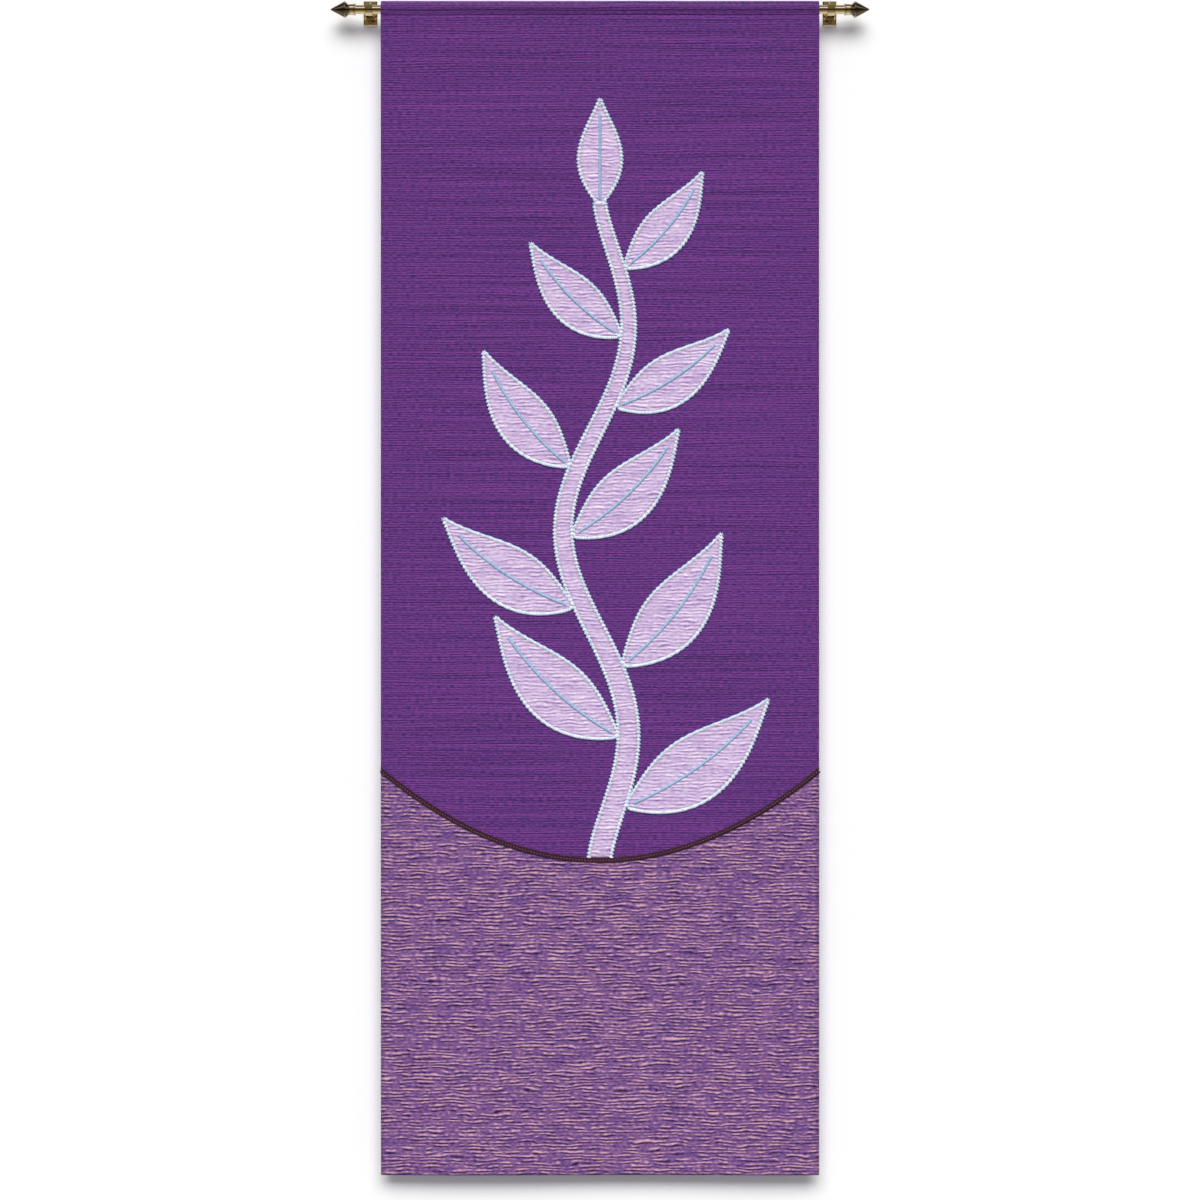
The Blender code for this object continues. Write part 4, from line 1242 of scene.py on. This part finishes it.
def make_brackets(context):
    """The two brackets, each a plate, a hook and two screws."""
    metal = brass(context)
    for side, x in (("left", -BRACKET_X), ("right", BRACKET_X)):
        finished(make_plate(f"plate_{side}_stamped", x, metal), [f"plate_{side}"])
        finished(make_hook(f"hook_{side}_bent", x, metal), [f"hook_{side}"])
        for end, z in (("top", SCREW_OFFSET), ("bottom", -SCREW_OFFSET)):
            screw = make_screw(f"screw_{side}_{end}_slotted", x, z, metal)
            finished(screw, [f"screw_{side}_{end}"])


def stage_sheet(name, corners, shade, one_sided=False):
    """A plain surface of the stage."""
    mesh = bpy.data.meshes.new(name)
    mesh.from_pydata(corners, [], [tuple(range(len(corners)))])
    made, tree, shader = new_material(f"{name} paint, rolled on matt")
    shader.inputs["Base Color"].default_value = (*linear(shade), 1)
    shader.inputs["Roughness"].default_value = 1.0
    shader.inputs["Specular IOR Level"].default_value = 0.0
    if one_sided:
        rear = add(tree, "ShaderNodeNewGeometry", out="Backfacing")
        clear = add(tree, "ShaderNodeBsdfTransparent")
        seen = add(tree, "ShaderNodeMixShader", (rear, shader.outputs[0], clear))
        tree.links.new(seen, tree.nodes["Material Output"].inputs["Surface"])
    obj = new_object(name, mesh, made)
    return obj


def studio_world():
    """Even pale light, and a studio of its own for the metal to mirror.

    That studio has bright and dark bands above and below the horizon, by the angle about the rod: 0 is
    level and ahead of the banner, 90 straight up and -90 straight down.
    """
    world = bpy.data.worlds.new("studio")
    bpy.context.scene.world = world
    world.use_nodes = True
    tree = world.node_tree
    back = tree.nodes["Background"]
    aim = add(tree, "ShaderNodeSeparateXYZ", (add(tree, "ShaderNodeTexCoord", out="Generated"),), out=None)
    ahead = add(tree, "ShaderNodeMath", (aim.outputs["Y"], -1.0), operation="MULTIPLY")
    angle = add(tree, "ShaderNodeMath", (aim.outputs["Z"], ahead), operation="ARCTAN2")
    share = add(tree, "ShaderNodeMapRange", (angle, -math.pi, math.pi, 0.0, 1.0))
    ramp = add(tree, "ShaderNodeValToRGB", (share,), out=None)
    stops = ramp.color_ramp.elements
    stops[0].position, stops[0].color = 0.0, (0.12, 0.1, 0.09, 1)
    stops[1].position, stops[1].color = 1.0, (0.12, 0.1, 0.09, 1)
    for degrees, rgb in (
        (-150, (0.24, 0.24, 0.32)), (-98, (0.28, 0.27, 0.32)), (-84, (0.22, 0.21, 0.2)),
        (-66, (0.13, 0.12, 0.08)), (-40, (0.075, 0.065, 0.04)), (-26, (0.04, 0.035, 0.025)),
        (-18, (0.006, 0.006, 0.005)), (-1, (0.008, 0.008, 0.006)), (5, (0.05, 0.045, 0.028)),
        (20, (0.06, 0.055, 0.035)), (27, (0.1, 0.11, 0.12)), (33, (0.36, 0.33, 0.46)),
        (57, (0.36, 0.33, 0.46)), (63, (0.025, 0.022, 0.018)), (92, (0.025, 0.022, 0.018)),
        (102, (0.2, 0.2, 0.18)), (150, (0.2, 0.2, 0.18)),
    ):
        stops.new((degrees + 180) / 360).color = (*rgb, 1)
    aside = add(tree, "ShaderNodeMath", (aim.outputs["X"],), operation="ABSOLUTE")
    dim = (aside, 0.25, 0.55, GLEAM_AHEAD, GLEAM_ASIDE)
    aside = add(tree, "ShaderNodeMapRange", dim, interpolation_type="SMOOTHSTEP")
    gloss = add(tree, "ShaderNodeBackground", (ramp.outputs[0], aside))
    back.inputs["Color"].default_value = (1, 1, 1, 1)
    back.inputs["Strength"].default_value = FILL_LIGHT
    ray = add(tree, "ShaderNodeLightPath", out="Is Glossy Ray")
    both = add(tree, "ShaderNodeMixShader", (ray, back.outputs[0], gloss))
    pale = add(tree, "ShaderNodeBackground", ((1, 1, 1, 1), BACKDROP))
    ray = add(tree, "ShaderNodeLightPath", out="Is Camera Ray")
    seen = add(tree, "ShaderNodeMixShader", (ray, both, pale))
    tree.links.new(seen, tree.nodes["World Output"].inputs["Surface"])


def soft_sun(name, elevation, side, spread, strength):
    """A wide soft light from afar that the metal doesn't mirror.

    It is given by its height over the horizon and its angle sideways from straight ahead of the banner.
    """
    data = bpy.data.lights.new(name, "SUN")
    data.angle = math.radians(spread)
    data.energy = strength
    lamp = bpy.data.objects.new(name, data)
    bpy.context.scene.collection.objects.link(lamp)
    up, turn = math.radians(elevation), math.radians(side)
    way = Vector((math.cos(up) * math.sin(turn), math.cos(up) * math.cos(turn), -math.sin(up)))
    lamp.rotation_euler = way.to_track_quat("-Z", "Y").to_euler()
    lamp.visible_glossy = False


def make_stage(context):
    """The wall, the floor, the lights and the camera.

    The wall is seen from its front alone and lets the light behind it through, so that the cloth's back
    can be looked at too.
    """
    sizes = context.scene.banner_sizes
    side, low, high, deep = 4.0, CLOTH_BOTTOM - 0.75, 1.8, 5.0
    corners = [(-side, 0, low), (side, 0, low), (side, 0, high), (-side, 0, high)]
    wall = stage_sheet("wall", corners, "#F2F2F2", one_sided=True)
    wall.visible_glossy = False
    wall.visible_shadow = False
    corners = [(-side, -deep, low), (side, -deep, low), (side, deep, low), (-side, deep, low)]
    floor = stage_sheet("floor", corners, "#B4B3B0")
    floor.visible_glossy = False
    floor.visible_diffuse = False
    studio_world()
    for name, side_angle in (("key light left", 16), ("key light right", -16)):
        soft_sun(name, elevation=44, side=side_angle, spread=32, strength=1.78)
    soft_sun("back light", elevation=40, side=180, spread=50, strength=2.6)
    pixel = CLOTH_HEIGHT / PHOTO_CLOTH
    data = bpy.data.cameras.new("camera")
    data.sensor_width = SENSOR_WIDTH
    span = PHOTO_SIDE * pixel
    data.lens = data.sensor_width * sizes.camera_distance / span
    camera = bpy.data.objects.new("camera", data)
    bpy.context.scene.collection.objects.link(camera)
    height = (CLOTH_TOP + CLOTH_BOTTOM) / 2 - PHOTO_RISE * pixel
    camera.location = (0, ROD_Y - sizes.camera_distance, height)
    camera.rotation_euler = (math.pi / 2, 0, 0)
    context.scene.camera = camera
    context.scene.view_settings.view_transform = "Standard"


class BANNER_OT_rod(bpy.types.Operator):
    """Makes the brass rod and its turned spears"""

    bl_idname = "banner.rod"
    bl_label = "Rod and Spears"

    def execute(self, context):
        make_rod(context)
        return {"FINISHED"}


class BANNER_OT_ground_cloth(bpy.types.Operator):
    """Makes the ribbed cloth with its rod pocket"""

    bl_idname = "banner.ground_cloth"
    bl_label = "Ground Cloth"

    def execute(self, context):
        make_ground(context)
        return {"FINISHED"}


class BANNER_OT_lower_panel(bpy.types.Operator):
    """Makes the slub cloth panel"""

    bl_idname = "banner.lower_panel"
    bl_label = "Lower Panel"

    def execute(self, context):
        make_panel(context)
        return {"FINISHED"}


class BANNER_OT_patches(bpy.types.Operator):
    """Makes the shapes of lilac cloth"""

    bl_idname = "banner.patches"
    bl_label = "Stem, Leaves and Bud"

    def execute(self, context):
        make_patches(context)
        return {"FINISHED"}


class BANNER_OT_outlines(bpy.types.Operator):
    """Makes the outlines and midribs"""

    bl_idname = "banner.outlines"
    bl_label = "Raised Stitching"

    def execute(self, context):
        make_outlines(context)
        return {"FINISHED"}


class BANNER_OT_braid(bpy.types.Operator):
    """Makes the braid along the panel's edge"""

    bl_idname = "banner.braid"
    bl_label = "Braid"

    def execute(self, context):
        make_braid(context)
        return {"FINISHED"}


class BANNER_OT_seams(bpy.types.Operator):
    """Makes the machine stitches"""

    bl_idname = "banner.seams"
    bl_label = "Seams and Hems"

    def execute(self, context):
        make_seams(context)
        return {"FINISHED"}


class BANNER_OT_brackets(bpy.types.Operator):
    """Makes the hooks, plates and screws"""

    bl_idname = "banner.brackets"
    bl_label = "Brackets"

    def execute(self, context):
        make_brackets(context)
        return {"FINISHED"}


class BANNER_OT_stage(bpy.types.Operator):
    """Makes the wall, the floor, the lights and the camera"""

    bl_idname = "banner.stage"
    bl_label = "Stage"

    def execute(self, context):
        make_stage(context)
        return {"FINISHED"}


OPERATORS = (
    BANNER_OT_rod,
    BANNER_OT_ground_cloth,
    BANNER_OT_lower_panel,
    BANNER_OT_patches,
    BANNER_OT_outlines,
    BANNER_OT_braid,
    BANNER_OT_seams,
    BANNER_OT_brackets,
    BANNER_OT_stage,
)


class BANNER_PT_sidebar(bpy.types.Panel):
    """The banner's sizes, colours and pieces."""

    bl_label = "Banner"
    bl_idname = "BANNER_PT_sidebar"
    bl_space_type = "VIEW_3D"
    bl_region_type = "UI"
    bl_category = "Banner"

    def draw(self, context):
        for group in (context.scene.banner_sizes, context.scene.banner_colours):
            column = self.layout.column()
            for name in group.bl_rna.properties.keys():
                if name not in {"rna_type", "name"}:
                    column.prop(group, name)
        for operator in OPERATORS:
            self.layout.operator(operator.bl_idname)


CLASSES = (BannerSizes, BannerColours, *OPERATORS, BANNER_PT_sidebar)


def register():
    for made in CLASSES:
        bpy.utils.register_class(made)
    bpy.types.Scene.banner_sizes = PointerProperty(type=BannerSizes)
    bpy.types.Scene.banner_colours = PointerProperty(type=BannerColours)


def unregister():
    del bpy.types.Scene.banner_colours
    del bpy.types.Scene.banner_sizes
    for made in reversed(CLASSES):
        bpy.utils.unregister_class(made)


def main():
    """Builds the banner piece by piece."""
    register()
    for operator in OPERATORS:
        getattr(bpy.ops.banner, operator.bl_idname.split(".")[1])()


if __name__ == "__main__":
    main()
